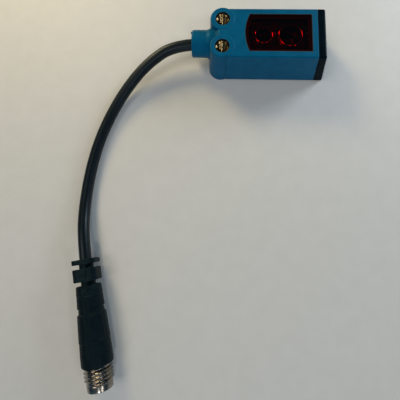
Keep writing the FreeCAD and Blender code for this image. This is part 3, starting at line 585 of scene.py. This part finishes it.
def make_materials():
    """Every finish, by the record's slot name."""
    made = [
        surface(
            "blue_plastic", (0.001, 0.092, 0.196), (0.002, 0.114, 0.238), 2.6, (0.36, 0.5), 0.16, 0.006,
            # painted highlight: a lighter blue along the edges
            edge_highlight=((0.02, 0.17, 0.29), 0.22), Specular__IOR__Level=0.2,
            Specular__Tint=(0.08, 0.65, 1.0, 1),
        ),
        surface(
            "black_plastic", (0.0005, 0.003, 0.006), (0.0015, 0.006, 0.010), 2.0, (0.28, 0.4), 0.15,
            0.004,
            edge_highlight=((0.004, 0.012, 0.018), 0.12), Specular__IOR__Level=0.05,
            # painted highlight: a dark blue-grey line along the edges
            Specular__Tint=(0.2, 0.6, 1.0, 1),
        ),
        surface(
            "window_tint", (0.48, 0.022, 0.028), (0.52, 0.028, 0.034), 6.0, (0.0, 0.015), 2.0, 0.0005,
            Transmission__Weight=1.0, IOR=1.25,
        ),
        surface(
            "brass", (0.10, 0.065, 0.025), (0.25, 0.18, 0.09), 0.7, (0.16, 0.26), 0.1, 0.002,
            Metallic=1.0,
        ),
        surface(
            "carrier_plastic", (0.002, 0.0017, 0.0017), (0.006, 0.005, 0.005), 1.6, (0.04, 0.1), 0.14,
            0.0005,
            IOR=1.9,
        ),
        surface(
            "lens_clear", (0.13, 0.07, 0.07), (0.17, 0.10, 0.10), 3.0, (0.0, 0.01), 1.2, 0.0002,
            Transmission__Weight=1.0, IOR=1.49,
        ),
        surface(
            "tin", (0.15, 0.15, 0.145), (0.25, 0.25, 0.24), 1.4, (0.28, 0.48), 0.2, 0.004,
            stretch=(6, 1, 1), Metallic=1.0,
        ),
        surface(
            "contact_gold", (0.70, 0.47, 0.16), (0.86, 0.64, 0.28), 0.9, (0.12, 0.26), 0.12, 0.002,
            turn=PLUG_TURN, stretch=(1, 5, 1), Metallic=1.0,
        ),
        surface(
            "adjuster_plastic", (0.5, 0.5, 0.47), (0.66, 0.66, 0.62), 1.0, (0.35, 0.5), 0.1, 0.006,
            # painted highlight: a paler grey along the edges
            edge_highlight=((0.75, 0.75, 0.72), 0.12),
        ),
        surface(
            "cable_jacket", (0.0006, 0.003, 0.005), (0.002, 0.006, 0.009), 1.8, (0.3, 0.42), 0.22, 0.008,
            Specular__IOR__Level=0.35, Specular__Tint=(0.75, 0.9, 1.0, 1),
        ),
        surface(
            "plug_rubber", (0.0006, 0.003, 0.0045), (0.002, 0.007, 0.010), 2.2, (0.42, 0.6), 0.18, 0.010,
            # painted highlight: a lighter teal-grey line along the moulded edges
            turn=PLUG_TURN, edge_highlight=((0.012, 0.026, 0.034), 0.15), Specular__IOR__Level=0.18,
            Specular__Tint=(0.5, 0.85, 1.0, 1),
        ),
        surface(
            "nickel", (0.21, 0.185, 0.155), (0.40, 0.37, 0.33), 1.2, (0.18, 0.28), 0.12, 0.0015,
            turn=PLUG_TURN, stretch=(1, 4, 4), Metallic=1.0,
        ),
        make_seal_rubber(),
        make_board_green(),
    ]
    for name, values in PLAIN_FINISHES.items():
        made.append(surface(name, *values))
    for name, colours in INSULATION_COLOURS.items():
        made.append(surface(f"insulation_{name}", *colours, 0.8, (0.25, 0.4), 0.15, 0.003))
    clear = {"Transmission__Weight": 0.5, "IOR": 1.49}
    for name, colours in LIGHT_PIPE_COLOURS.items():
        made.append(surface(f"{name}_pipe", *colours, 1.0, (0.12, 0.25), 0.3, 0.003, **clear))
    finishes = {material.name.removesuffix(FINISH): material for material in made}
    polish_above(finishes["carrier_plastic"], CARRIER_HIGH.z - LIP_HEIGHT, (0.75, 0.6, 0.6))
    let_lamps_through(finishes["window_tint"], (0.88, 0.06, 0.07))
    let_lamps_through(finishes["lens_clear"], (0.9, 0.8, 0.8))
    return finishes


# ---------- Housing, inserts and cap ----------
def window_outline(inset, corner=0.0):
    """The window's outline in x and y: three straight edges and a bulging one."""
    right = SEAT_HIGH.x - inset
    half = SEAT_HIGH.y - inset
    radius = WINDOW_ARC - inset
    reach = math.asin(half / radius)
    steps = 28
    bulge = []
    for step in range(1, steps):
        angle = math.pi - reach + 2 * reach * step / steps
        spot = (WINDOW_ARC_CENTER + radius * math.cos(angle), radius * math.sin(angle), 0)
        bulge.append(spot)
    left = WINDOW_ARC_CENTER - radius * math.cos(reach)
    corners = [(right, -half), (right, half), (left, half), *bulge, (left, -half)]
    return [tuple(point) for point in rounded(corners, corner)]


def split_x(z):
    """Where the sloping parting plane between housing and cap is at this height."""
    return SPLIT_REAR + (SPLIT_FRONT - SPLIT_REAR) * z / DEPTH


def head_x(z):
    """Where the sloping head face is at this height."""
    return HEAD_REAR + (HEAD_FRONT - HEAD_REAR) * z / DEPTH


# A frame whose x and y are the model's Y and Z, and whose z is its X.
ACROSS = Matrix(((0, 0, 1, 0), (1, 0, 0, 0), (0, 1, 0, 0), (0, 0, 0, 1)))
# A frame whose x and y are the model's X and Z, and whose z is its -Y.
SIDEWAYS = Matrix(((1, 0, 0, 0), (0, 0, -1, 0), (0, 1, 0, 0), (0, 0, 0, 1)))


def section(half, low, high, radius):
    """A rounded rectangle across the body."""
    return rounded([(-half, low), (half, low), (half, high), (-half, high)], radius, steps=5)


def upright(x, y):
    """The frame of a turned form that stands on the table here."""
    return Matrix.Translation((x, y, 0)) @ UPRIGHT


def make_housing(material):
    """The blue shell with its two lugs, the cable neck and the window's seat."""
    outline = section(HALF_WIDTH, 0, DEPTH, EDGE_ROUND)
    shell = prism(outline, FLAT_START, lambda y, z: split_x(z), ACROSS, 0.12, 0.15)

    slope = [
        (WEB_START, 0, 0.3),
        (FLAT_START + 1, 0, 0),
        (FLAT_START + 1, DEPTH, 0),
        (WEB_START + 1.1, DEPTH, 0.8),
        (WEB_START, DEPTH - 1.3, 0.5),
    ]
    web = prism(rounded(slope, 0), -LUG_Y, LUG_Y, SIDEWAYS)
    solids = [web]
    for side in (1, -1):
        profile = [(0, 0), (0, LUG_RADIUS, 0.3), (LUG_TOP, LUG_RADIUS, 0.42), (LUG_TOP, 0)]
        place = upright(LUG_X, side * LUG_Y)
        solids.append(turned(rounded(profile, 0, closed=False, steps=6), place, 128))

    along_neck = Matrix.Translation((0, 0, NECK_Z))
    inside = WEB_START + 1.2
    profile = [
        (NECK_END, 0),
        (NECK_END, NECK_RADIUS, 0.75),
        (COLLAR_START - 0.9, NECK_RADIUS, 1.6),
        (COLLAR_START, COLLAR_RADIUS, 0.9),
        (inside, COLLAR_RADIUS, 0),
        (inside, 0),
    ]
    solids.append(turned(rounded(profile, 0, closed=False, steps=6), along_neck, 128))
    solids.append(make_gate_mark())
    combine(shell, solids, "UNION")

    side = HALF_WIDTH - SIDE_WALL
    cavity = section(side, REAR_WALL, DEPTH - FRONT_WALL, 0.3)
    cuts = [prism(cavity, CAVITY_START, HEAD_REAR + 1, ACROSS)]
    cuts.append(prism(window_outline(OPENING_INSET, 0.3), DEPTH - FRONT_WALL - 1, LUG_TOP + 1))
    cuts.append(prism(window_outline(0, 0.2), SEAT_LOW.z, LUG_TOP + 1))
    bore = [
        (NECK_END - 1, 0),
        (NECK_END - 1, NECK_BORE + 0.25),
        (NECK_END, NECK_BORE + 0.25),
        (NECK_END + 0.25, NECK_BORE),
        (CAVITY_START + 1, NECK_BORE),
        (CAVITY_START + 1, 0),
    ]
    cuts.append(turned(bore, along_neck, 96))
    for sign in (1, -1):
        lip = INSERT_RADIUS + 0.12
        hole = [
            (-1, 0),
            (-1, lip),
            (0.0, lip),
            (0.12, INSERT_RADIUS),
            (LUG_TOP - 0.12, INSERT_RADIUS),
            (LUG_TOP, lip),
            (LUG_TOP + 1, lip),
            (LUG_TOP + 1, 0),
        ]
        cuts.append(turned(hole, upright(LUG_X, sign * LUG_Y), 96))
    combine(shell, cuts, "DIFFERENCE")
    return publish(shell, "housing_shell", material, ["housing"])


def make_gate_mark():
    """The trimmed gate of the moulding, on the rim of the cable neck."""
    place = Matrix.Translation((0, 1.5, NECK_Z + 2.95))
    tip = NECK_END - 0.22
    profile = [(tip, 0), (tip, 0.34, 0.14), (NECK_END + 0.8, 0.42, 0), (NECK_END + 0.8, 0)]
    return turned(rounded(profile, 0, closed=False), place, 24)


INSERT_CORE = 1.25
INSERT_MAJOR = 1.5
INSERT_PITCH = 0.5
INSERT_MOUTH = INSERT_RADIUS - 0.14


def make_inserts(material):
    """Two brass sleeves with an M3 thread and a countersunk mouth at each end."""
    low, high = INSERT_LOW.z, INSERT_HIGH.z

    def mouth(along, radius):
        depth = min(along - low, high - along)
        cone = INSERT_MOUTH - 0.25 * depth - 1.1 * max(0, depth - 0.5)
        return max(radius, cone)

    sleeves = []
    for side in (1, -1):
        place = upright(LUG_X, side * LUG_Y)
        sizes = (INSERT_RADIUS - 0.005, INSERT_MAJOR, INSERT_CORE, INSERT_PITCH, low, high)
        sleeves.append(threaded_tube(*sizes, place, 64, mouth))
    return publish(merged(sleeves), "brass_inserts", material, ["threaded_inserts"])


JOINT = frame["joints"][0]
TILT = math.atan2(JOINT["axis"][2], JOINT["axis"][0])
CONTROL = Matrix.Translation(Vector(JOINT["pos_m"]) / MM) @ Matrix.Rotation(-TILT, 4, "Y")
LAMP_OFFSET = 4.6
DIAL_FACE = -0.35


def control_turned(profile, across=0.0, segments=64, radius=0.0, closed=False):
    """A lathe form square to the sloping head face."""
    place = CONTROL @ Matrix.Translation((0, across, 0))
    return turned(rounded(profile, radius, closed=closed), place, segments)


SPIGOT_SPAN = (14.9, 18.6)
ROOM_SPAN = (13.9, 17.9)
CAP_PLAY = 0.1
CAP_WALL = 0.9
DISH_RADIUS = 2.05
DIAL_HOLE = 1.65
SPINDLE_HOLE = 1.4
LAMP_HOLE = 0.96
DRILL_END = -6


def cap_rounding():
    """The cap's rings: inset, the sloping face that each follows, and its offset from it."""
    chamfer = 0.12
    rings = [(chamfer, split_x, 0.0), (0.0, split_x, chamfer)]
    steps = 5
    for step in range(steps + 1):
        angle = math.pi / 2 * step / steps
        inset = EDGE_ROUND * (1 - math.cos(angle))
        rings.append((inset, head_x, EDGE_ROUND * (math.sin(angle) - 1)))
    return rings


def make_cap(material):
    """The black head cap: sloping face, dished adjuster hole and two indicator holes."""
    rings = []
    for inset, face, depth in cap_rounding():
        ring = section(HALF_WIDTH - inset, inset, DEPTH - inset, EDGE_ROUND - 0.9 * inset)
        rings.append([Vector((face(z) + depth, y, z)) for y, z in ring])
    cap = loft(rings)
    side = HALF_WIDTH - SIDE_WALL - CAP_PLAY
    low, high = REAR_WALL + CAP_PLAY, DEPTH - FRONT_WALL - CAP_PLAY
    spigot = prism(section(side, low, high, 0.25), *SPIGOT_SPAN, ACROSS, 0, 0.1)
    combine(cap, [spigot], "UNION")
    inner = section(side - CAP_WALL, low + CAP_WALL / 2, high - CAP_WALL / 2, 0.2)
    room = prism(inner, *ROOM_SPAN, ACROSS)
    rim = DISH_RADIUS + 0.4
    dish = [(DIAL_FACE, 0), (DIAL_FACE, DISH_RADIUS, 0.1), (0.25, rim, 0), (2, rim), (2, 0)]
    hole = [(-1.55, 0), (-1.55, DIAL_HOLE), (1, DIAL_HOLE), (1, 0)]
    neck = [(DRILL_END, 0), (DRILL_END, SPINDLE_HOLE), (0, SPINDLE_HOLE), (0, 0)]
    cuts = [room, control_turned(dish), control_turned(hole), control_turned(neck)]
    for sign in (1, -1):
        mouth = LAMP_HOLE + 0.22
        lamp = [(DRILL_END, 0), (DRILL_END, LAMP_HOLE), (-0.12, LAMP_HOLE)]
        lamp += [(0.1, mouth), (2, mouth), (2, 0)]
        cuts.append(control_turned(lamp, sign * LAMP_OFFSET, 48))
    cuts += make_scale_marks()
    combine(cap, cuts, "DIFFERENCE")
    return publish(cap, "head_cap_shell", material, ["head_cap"])


def make_scale_marks():
    """Short engraved ticks round the adjuster, over its 270 degrees of travel."""
    count = 11
    travel = 270
    marks = []
    for index in range(count):
        angle = math.radians(travel * (index / (count - 1) - 0.5))
        place = CONTROL @ Matrix.Rotation(angle, 4, "X")
        reach = 3.15 if index in (0, count - 1) else 2.95
        marks.append(brick((-0.12, -0.06, 2.62), (1, 0.06, reach), 0, place))
    return marks


def make_adjuster(material):
    """The slotted sensitivity adjuster with its spindle."""
    spindle, dial = 0.8, 1.6
    profile = [
        (-4.0, 0),
        (-4.0, spindle, 0.1),
        (DIAL_FACE - 1, spindle, 0.05),
        (DIAL_FACE - 1, dial, 0.1),
        (DIAL_FACE, dial, 0.16),
        (DIAL_FACE, 0),
    ]
    screw = control_turned(profile, segments=72)
    slot = brick((-0.85, -3, -0.25), (1, 3, 0.25), 0, CONTROL)
    pointer = brick((-0.5, -0.12, 0.62), (1, 0.12, 1.42), 0, CONTROL)
    combine(screw, [slot, pointer], "DIFFERENCE")
    replaced = ["adjuster_screw"]
    return publish(screw, "adjuster_dial", material, replaced, "adjuster")


def ring_profile(along, radius, width, steps=16):
    """A round section for an O-ring."""
    points = []
    for step in range(steps):
        angle = 2 * math.pi * step / steps
        points.append((along + width * math.cos(angle), radius + width * math.sin(angle)))
    return points


def make_adjuster_ring(material):
    """The O-ring round the adjuster's spindle."""
    ring = turned(ring_profile(-1.7, 1.125, 0.25), CONTROL, 64)
    return publish(ring, "adjuster_o_ring", material, ["adjuster_ring"])


def make_light_pipes(materials):
    """The two domed rods that bring the indicators' light to the head face."""
    for name, sign in (("power", 1), ("signal", -1)):
        rod_radius = LAMP_HOLE - 0.02
        profile = [(-3.9, 0), (-3.9, rod_radius, 0.1), (-0.3, rod_radius, 0.2)]
        profile += [(-0.06, 0.6, 0.3), (-0.05, 0)]
        rod = control_turned(profile, sign * LAMP_OFFSET, 48)
        slot = f"{name}_pipe"
        publish(rod, f"{name}_light_rod", materials[slot], [f"{name}_light_pipe"])


# ---------- Window and optics ----------
def make_window(material):
    """The polished pane, with a fine chamfer round its face."""
    outline = window_outline(SEAL_WIDTH + 0.01, 0.15)
    pane = prism(outline, PANE_LOW.z + 0.005, PANE_HIGH.z, ALONG_X, 0.14)
    return publish(pane, "window_pane", material, ["front_window"])


def make_window_seal(material):
    """The gasket: a foot under the pane and a thin lip round it."""
    seal = prism(window_outline(0.005, 0.2), SEAT_LOW.z, SEAT_HIGH.z + 0.015, ALONG_X, 0.06)
    recess = prism(window_outline(SEAL_WIDTH, 0.15), PANE_LOW.z, SEAT_HIGH.z + 1)
    opening = prism(window_outline(OPENING_INSET, 0.3), SEAT_LOW.z - 1, SEAT_HIGH.z + 1)
    combine(seal, [recess, opening], "DIFFERENCE")
    return publish(seal, "window_gasket", material, ["window_seal"])


def lens_box(side):
    """A lens's centre along the body, its radius, its flat side and its apex."""
    low, high = box_of(f"{side}_lens")
    return (low.x + high.x) / 2, (high.x - low.x) / 2, low.z, high.z


DOMES = {"emitter": 4.2, "receiver": 6.6}
EMITTER_STEP = 3.85
LIP_HEIGHT = 0.42


def make_optics(materials):
    """The carrier with its barrels and stray-light ribs, and the two domed lenses."""
    plate_top = 9.6
    low, high = CARRIER_LOW, CARRIER_HIGH
    carrier = brick((low.x, low.y, low.z), (high.x, high.y, plate_top), 0.12)
    solids = []
    cuts = []
    for side in DOMES:
        x, radius, bottom, _ = lens_box(side)
        place = upright(x, 0)
        barrel = [
            (low.z + 1, 0),
            (low.z + 1, radius + 0.5, 0),
            (high.z, radius + 0.5, LIP_HEIGHT),
            (high.z, 0),
        ]
        if side == "emitter":
            step_top = plate_top + 0.35
            barrel[2:2] = [(step_top, EMITTER_STEP, 0.25), (step_top, radius + 0.5, 0.05)]
            barrel[1] = (low.z + 1, EMITTER_STEP, 0)
        solids.append(turned(rounded(barrel, 0, closed=False, steps=6), place, 96))
        channel = [
            (low.z - 1, 0),
            (low.z - 1, radius - 0.4),
            (bottom, radius - 0.4),
            (bottom, radius),
            (high.z - 0.35, radius),
            (high.z + 0.1, radius + 0.14),
            (high.z + 1, radius + 0.14),
            (high.z + 1, 0),
        ]
        cuts.append(turned(channel, place, 96))
    for index in range(3):
        y = 2.2 + 0.95 * index
        solids.append(brick((low.x + 0.6, y, 9), (high.x - 0.6, y + 0.4, 10.1), 0.08))
    combine(carrier, solids, "UNION")
    combine(carrier, cuts, "DIFFERENCE")
    dark = materials["carrier_plastic"]
    publish(carrier, "lens_carrier", dark, ["optics_carrier"])
    for side, dome in DOMES.items():
        make_lens(side, dome, materials["lens_clear"])


def make_lens(side, dome, material):
    """A plano-convex lens with a domed front and a narrow flat land."""
    x, radius, bottom, apex = lens_box(side)
    reach = math.asin((radius - 0.02) / dome)
    steps = 14
    profile = [(bottom + 0.01, 0), (bottom + 0.01, radius - 0.02)]
    for step in range(steps + 1):
        angle = reach * (1 - step / steps)
        profile.append((apex - dome + dome * math.cos(angle), dome * math.sin(angle)))
    lens = turned(profile, upright(x, 0), 96)
    publish(lens, f"{side}_optic", material, [f"{side}_lens"])


# ---------- Cable gland and plug ----------
def make_grommet(material):
    """The rubber grommet in the neck, with a rounded outer lip."""
    low, high = GROMMET_LOW.x, GROMMET_HIGH.x
    bore = CABLE_RADIUS + 0.02
    profile = [(low, bore, 0.3), (low, NECK_BORE, 0.3), (high, NECK_BORE, 0.1), (high, bore, 0.1)]
    ring = turned(rounded(profile, 0), Matrix.Translation((0, 0, NECK_Z)), 72)
    return publish(ring, "neck_grommet", material, ["cable_grommet"])


MOULD_START = 7.4
MOULD_END = 28.8
THREAD_END = 33.5
THREAD_MIDDLE = (MOULD_END + THREAD_END) / 2
THREAD_MOUNT = next(m for m in frame["record"]["mounts"] if m["name"] == "m8_thread")
PLUG_AXIS = Vector(THREAD_MOUNT["axis"])
PLUG_SIDE = Vector((0, 0, 1)).cross(PLUG_AXIS)
PLUG_ORIGIN = Vector(THREAD_MOUNT["pos_m"]) / MM - THREAD_MIDDLE * PLUG_AXIS
PLUG = Matrix.Translation(PLUG_ORIGIN) @ Matrix(
    (
        (PLUG_AXIS.x, PLUG_SIDE.x, 0, 0),
        (PLUG_AXIS.y, PLUG_SIDE.y, 0, 0),
        (PLUG_AXIS.z, PLUG_SIDE.z, 1, 0),
        (0, 0, 0, 1),
    )
)
RIB_HALF = 3.0
RIB_POWER = 5
RIB_RADIUS = 3.45
GAP_RADIUS = 2.0
BODY_START = 10.4
TAPER_END = 26.0
TAPER_GAIN = 0.87
SLEEVE_START = 23.5
SLEEVE_BORE = 2.9
NOSE_RADIUS = 3.45
NOSE_END = 35.2
CONTACT_RING = 1.4
WIRE_ROOM = 19.5
# Each rib's start and end along the plug, and the end of the gap that follows it.
RIBS = [(0, 1.35, 2.6), (2.6, 6.2, MOULD_START)]
PANEL = (15.3, 22.4)
BAND = (13.7, 14.9)


def ease(value, start, end):
    """A smooth step from 0 to 1 between two values."""
    share = min(1.0, max(0.0, (value - start) / (end - start)))
    return share * share * (3 - 2 * share)


def within(value, low, high, edge):
    """1 inside a span, 0 outside it, with soft edges."""
    return ease(value, low - edge, low) * (1 - ease(value, high, high + edge))


def plug_shape(along, radius, angle):
    """The moulded details: flat ribs, webs in the gaps, side panels, bands and the seam."""
    if radius < NOSE_RADIUS - 1.6 or along > MOULD_END - 0.02:
        return radius
    across = abs(math.cos(angle))
    height = abs(math.sin(angle))
    if along < MOULD_START - 0.05:
        if radius > 3.0:
            boxy = (across / radius) ** RIB_POWER + (height / RIB_HALF) ** RIB_POWER
            return boxy ** (-1 / RIB_POWER)
        return radius + 0.3 * within(height, 0.965, 2.0, 0.02)
    seam = 0.11 * math.exp(-((across * radius / 0.2) ** 2))
    flank = math.degrees(math.asin(min(1.0, across)))
    panel = within(along, *PANEL, 0.12) * within(flank, 9, 62, 2.5)
    inner = within(along, PANEL[0] + 0.6, PANEL[1] - 0.6, 0.12) * within(flank, 15, 56, 2.5)
    groove = within(along, *BAND, 0.3) * within(flank, 14, 91, 4)
    nub = 0.06 * math.exp(-(((along - 26.4) / 0.3) ** 2 + (across * radius / 0.3) ** 2))
    return radius + seam + nub + 0.13 * panel - 0.05 * inner - 0.3 * groove


def body_stations():
    """Places along the grip's body: even steps, and closer ones at each moulded edge."""
    first, last, count = BODY_START, MOULD_END - 0.6, 56
    places = {round(first + (last - first) * step / count, 3) for step in range(count + 1)}
    inner = (PANEL[0] + 0.6, PANEL[1] - 0.6)
    for span, edge in ((PANEL, 0.12), (BAND, 0.3), (inner, 0.12)):
        for share in (0, 0.5, 1):
            places.add(round(span[0] - edge * share, 3))
            places.add(round(span[1] + edge * share, 3))
    return sorted(places)


def plug_profile():
    """The moulding's section: ribs, collar and tapered body outside, sleeve seat inside."""
    grip_bore = CABLE_RADIUS - 0.02
    corners = [(0, grip_bore, 0)]
    for start, end, after in RIBS:
        corners += [(start, RIB_RADIUS, 0.25), (end, RIB_RADIUS, 0.25)]
        corners += [(end, GAP_RADIUS, 0.15), (after, GAP_RADIUS, 0.15)]
    corners += [
        (MOULD_START, RIB_RADIUS, 0.25),
        (9.9, 3.62, 0.05),
        (9.98, 3.54, 0),
        (10.1, 3.54, 0),
        (10.2, 3.64, 0.05),
    ]
    outline = rounded(corners, 0, closed=False, steps=4)
    for along in body_stations():
        share = min(1.0, (along - MOULD_START) / (TAPER_END - MOULD_START))
        outline.append(Vector((along, RIB_RADIUS + TAPER_GAIN * share)))
    ending = [
        (MOULD_END - 0.5, RIB_RADIUS + TAPER_GAIN, 0),
        (MOULD_END, 4.28, 0.3),
        (MOULD_END, NOSE_RADIUS, 0),
        (SLEEVE_START, NOSE_RADIUS, 0),
        (SLEEVE_START, SLEEVE_BORE, 0),
        (WIRE_ROOM, SLEEVE_BORE, 0),
        (WIRE_ROOM, grip_bore, 0),
        (WIRE_ROOM - 0.1, grip_bore, 0),
    ]
    outline += rounded(ending, 0, closed=False, steps=5)[1:]
    return outline


def make_plug_grip(material):
    """The moulded grip with its ribbed strain relief."""
    grip = turned(plug_profile(), PLUG, 240, plug_shape)
    marks = [
        brick((3.2, 0.5, 2.72), (5.5, 1.95, 4), 0.12, PLUG),
        brick((3.9, -0.6, 2.85), (4.9, 0.2, 4), 0.08, PLUG),
        brick((8.1, 0.9, 3.0), (9.2, 2.2, 5), 0.1, PLUG),
        brick((8.1, -0.9, 3.38), (9.2, 0.5, 5), 0.1, PLUG),
    ]
    combine(grip, marks, "DIFFERENCE")
    return publish(grip, "plug_grip", material, ["plug_overmould"], crease=40)


def make_plug_sleeve(material):
    """The nickel plated sleeve: an M8x1 thread and a plain nose with a rounded lip."""
    thread_root = 3.36
    thread_crest = 3.94
    pitch = 1.0
    start, end = MOULD_END - 0.05, THREAD_END - 0.05
    thread = threaded_tube(SLEEVE_BORE, thread_root, thread_crest, pitch, start, end, PLUG, 144)
    nose = [
        (THREAD_END - 0.2, SLEEVE_BORE, 0),
        (THREAD_END - 0.2, thread_root - 0.01, 0),
        (THREAD_END + 0.1, NOSE_RADIUS, 0.1),
        (NOSE_END, NOSE_RADIUS, 0.3),
        (NOSE_END, SLEEVE_BORE, 0.15),
    ]
    root_end = MOULD_END + 0.15
    root = [
        (SLEEVE_START, SLEEVE_BORE, 0),
        (SLEEVE_START, NOSE_RADIUS - 0.02, 0.1),
        (root_end, NOSE_RADIUS - 0.02, 0.05),
        (root_end, SLEEVE_BORE, 0),
    ]
    sleeve = merged([turned(rounded(part, 0), PLUG, 144) for part in (nose, root)] + [thread])
    return publish(sleeve, "plug_m8_sleeve", material, ["plug_threaded_sleeve"])


def contact_places():
    """The four contacts' own frames in the plug."""
    places = []
    for quarter in range(4):
        angle = math.radians(45 + 90 * quarter)
        across = (0, CONTACT_RING * math.cos(angle), CONTACT_RING * math.sin(angle))
        places.append(PLUG @ Matrix.Translation(across))
    return places


def make_contact_carrier(material):
    """The insulating insert, with a raised rim, a key and holes for the contacts."""
    profile = [
        (20.5, 0),
        (20.5, SLEEVE_BORE - 0.01, 0.1),
        (31.2, SLEEVE_BORE - 0.01, 0.12),
        (31.2, 2.45, 0.08),
        (31.0, 2.4, 0.08),
        (31.0, 0),
    ]
    carrier = turned(rounded(profile, 0, closed=False), PLUG, 96)
    key = brick((30.2, -0.35, 1.9), (31.2, 0.35, 2.6), 0.06, PLUG)
    combine(carrier, [key], "UNION")
    holes = []
    for place in contact_places():
        holes.append(turned([(20, 0), (20, 0.5), (32, 0.5), (32, 0)], place, 32))
    combine(carrier, holes, "DIFFERENCE")
    name = "contact_insulator"
    return publish(carrier, name, material, ["plug_contact_carrier"])


def make_contacts(material):
    """Four gold plated pins with rounded tips and solder cups."""
    profile = [
        (20.0, 0),
        (20.0, 0.49, 0.1),
        (33.7, 0.49, 0.3),
        (34.25, 0.3, 0.25),
        (34.4, 0.12, 0.05),
        (34.4, 0),
    ]
    pins = [turned(rounded(profile, 0, closed=False), place, 32) for place in contact_places()]
    return publish(merged(pins), "contact_pins", material, ["plug_contacts"])


# ---------- Carried-over CAD nodes ----------
def dress_cad_nodes(materials):
    """Give each CAD node the finish of its slot in the record."""
    for part in frame["record"]["subparts"]:
        node = frame["nodes"][part["node"]]
        finish = materials[part["material_slot"]]
        if not node.material_slots:
            node.data.materials.append(finish)
        for slot in node.material_slots:
            slot.material = finish


# ---------- Floor and light ----------
def make_floor():
    """A plain pale table top."""
    mesh = bmesh.new()
    bmesh.ops.create_grid(mesh, x_segments=4, y_segments=4, size=1.6)
    data = bpy.data.meshes.new("floor")
    mesh.to_mesh(data)
    mesh.free()
    floor = bpy.data.objects.new("floor", data)
    bpy.context.scene.collection.objects.link(floor)
    paper = surface(
        "floor_paper", (0.72, 0.72, 0.70), (0.75, 0.75, 0.73), 5.0, (0.55, 0.7), 0.6, 0.01
    )
    data.materials.append(paper)


def make_lamp(name, toward, distance, size, power, colour):
    """A soft box that looks at the middle of the model from this direction."""
    middle = (CAD_BOX[0] + CAD_BOX[1]) / 2
    data = bpy.data.lights.new(name, "AREA")
    data.shape = "RECTANGLE"
    data.size = size[0]
    data.size_y = size[1]
    data.energy = power
    data.color = colour
    lamp = bpy.data.objects.new(name, data)
    direction = Vector(toward).normalized()
    lamp.location = middle + direction * distance
    lamp.rotation_euler = direction.to_track_quat("Z", "Y").to_euler()
    bpy.context.scene.collection.objects.link(lamp)


WARM = (1.0, 0.88, 0.76)
AMBER = (1.0, 0.79, 0.42)
COOL = (0.84, 0.92, 1.0)
WHITE = (1.0, 0.98, 0.95)


def make_light():
    """A warm key high on the left, two small lamps beyond the sensor, two small bright panels
    high in front and on the right, and a cool soft box low in front."""
    make_lamp("key_lamp", (-0.48, -0.08, 0.87), 0.7, (0.32, 0.32), 1.0, WARM)
    make_lamp("far_left_lamp", (-0.45, 0.75, 0.45), 0.25, (0.07, 0.07), 0.25, AMBER)
    make_lamp("far_right_lamp", (0.72, 0.62, 0.34), 0.28, (0.1, 0.1), 0.3, COOL)
    make_lamp("panel_lamp", (0.57, -0.36, 0.74), 0.6, (0.16, 0.06), 0.26, WHITE)
    make_lamp("near_panel_lamp", (0.12, -0.56, 0.82), 0.5, (0.045, 0.045), 0.22, WHITE)
    make_lamp("front_lamp", (-0.1, -0.95, 0.25), 0.8, (0.6, 0.3), 0.7, COOL)
    world = bpy.data.worlds.new("studio")
    world.use_nodes = True
    background = world.node_tree.nodes["Background"]
    background.inputs["Color"].default_value = (0.30, 0.66, 1.0, 1)
    background.inputs["Strength"].default_value = 0.12
    bpy.context.scene.world = world
    bpy.context.scene.view_settings.view_transform = "Standard"


# ---------- Build ----------
make_camera()
materials = make_materials()
cable = make_cable(materials["cable_jacket"])
grip = make_plug_grip(materials["plug_rubber"])
sleeve = make_plug_sleeve(materials["nickel"])
insulator = make_contact_carrier(materials["insert_plastic"])
pins = make_contacts(materials["contact_gold"])
make_housing(materials["blue_plastic"])
make_inserts(materials["brass"])
make_cap(materials["black_plastic"])
make_adjuster(materials["adjuster_plastic"])
make_adjuster_ring(materials["seal_rubber"])
make_light_pipes(materials)
make_window(materials["window_tint"])
make_window_seal(materials["seal_rubber"])
make_optics(materials)
make_grommet(materials["grommet_rubber"])
dress_cad_nodes(materials)
make_floor()
make_light()
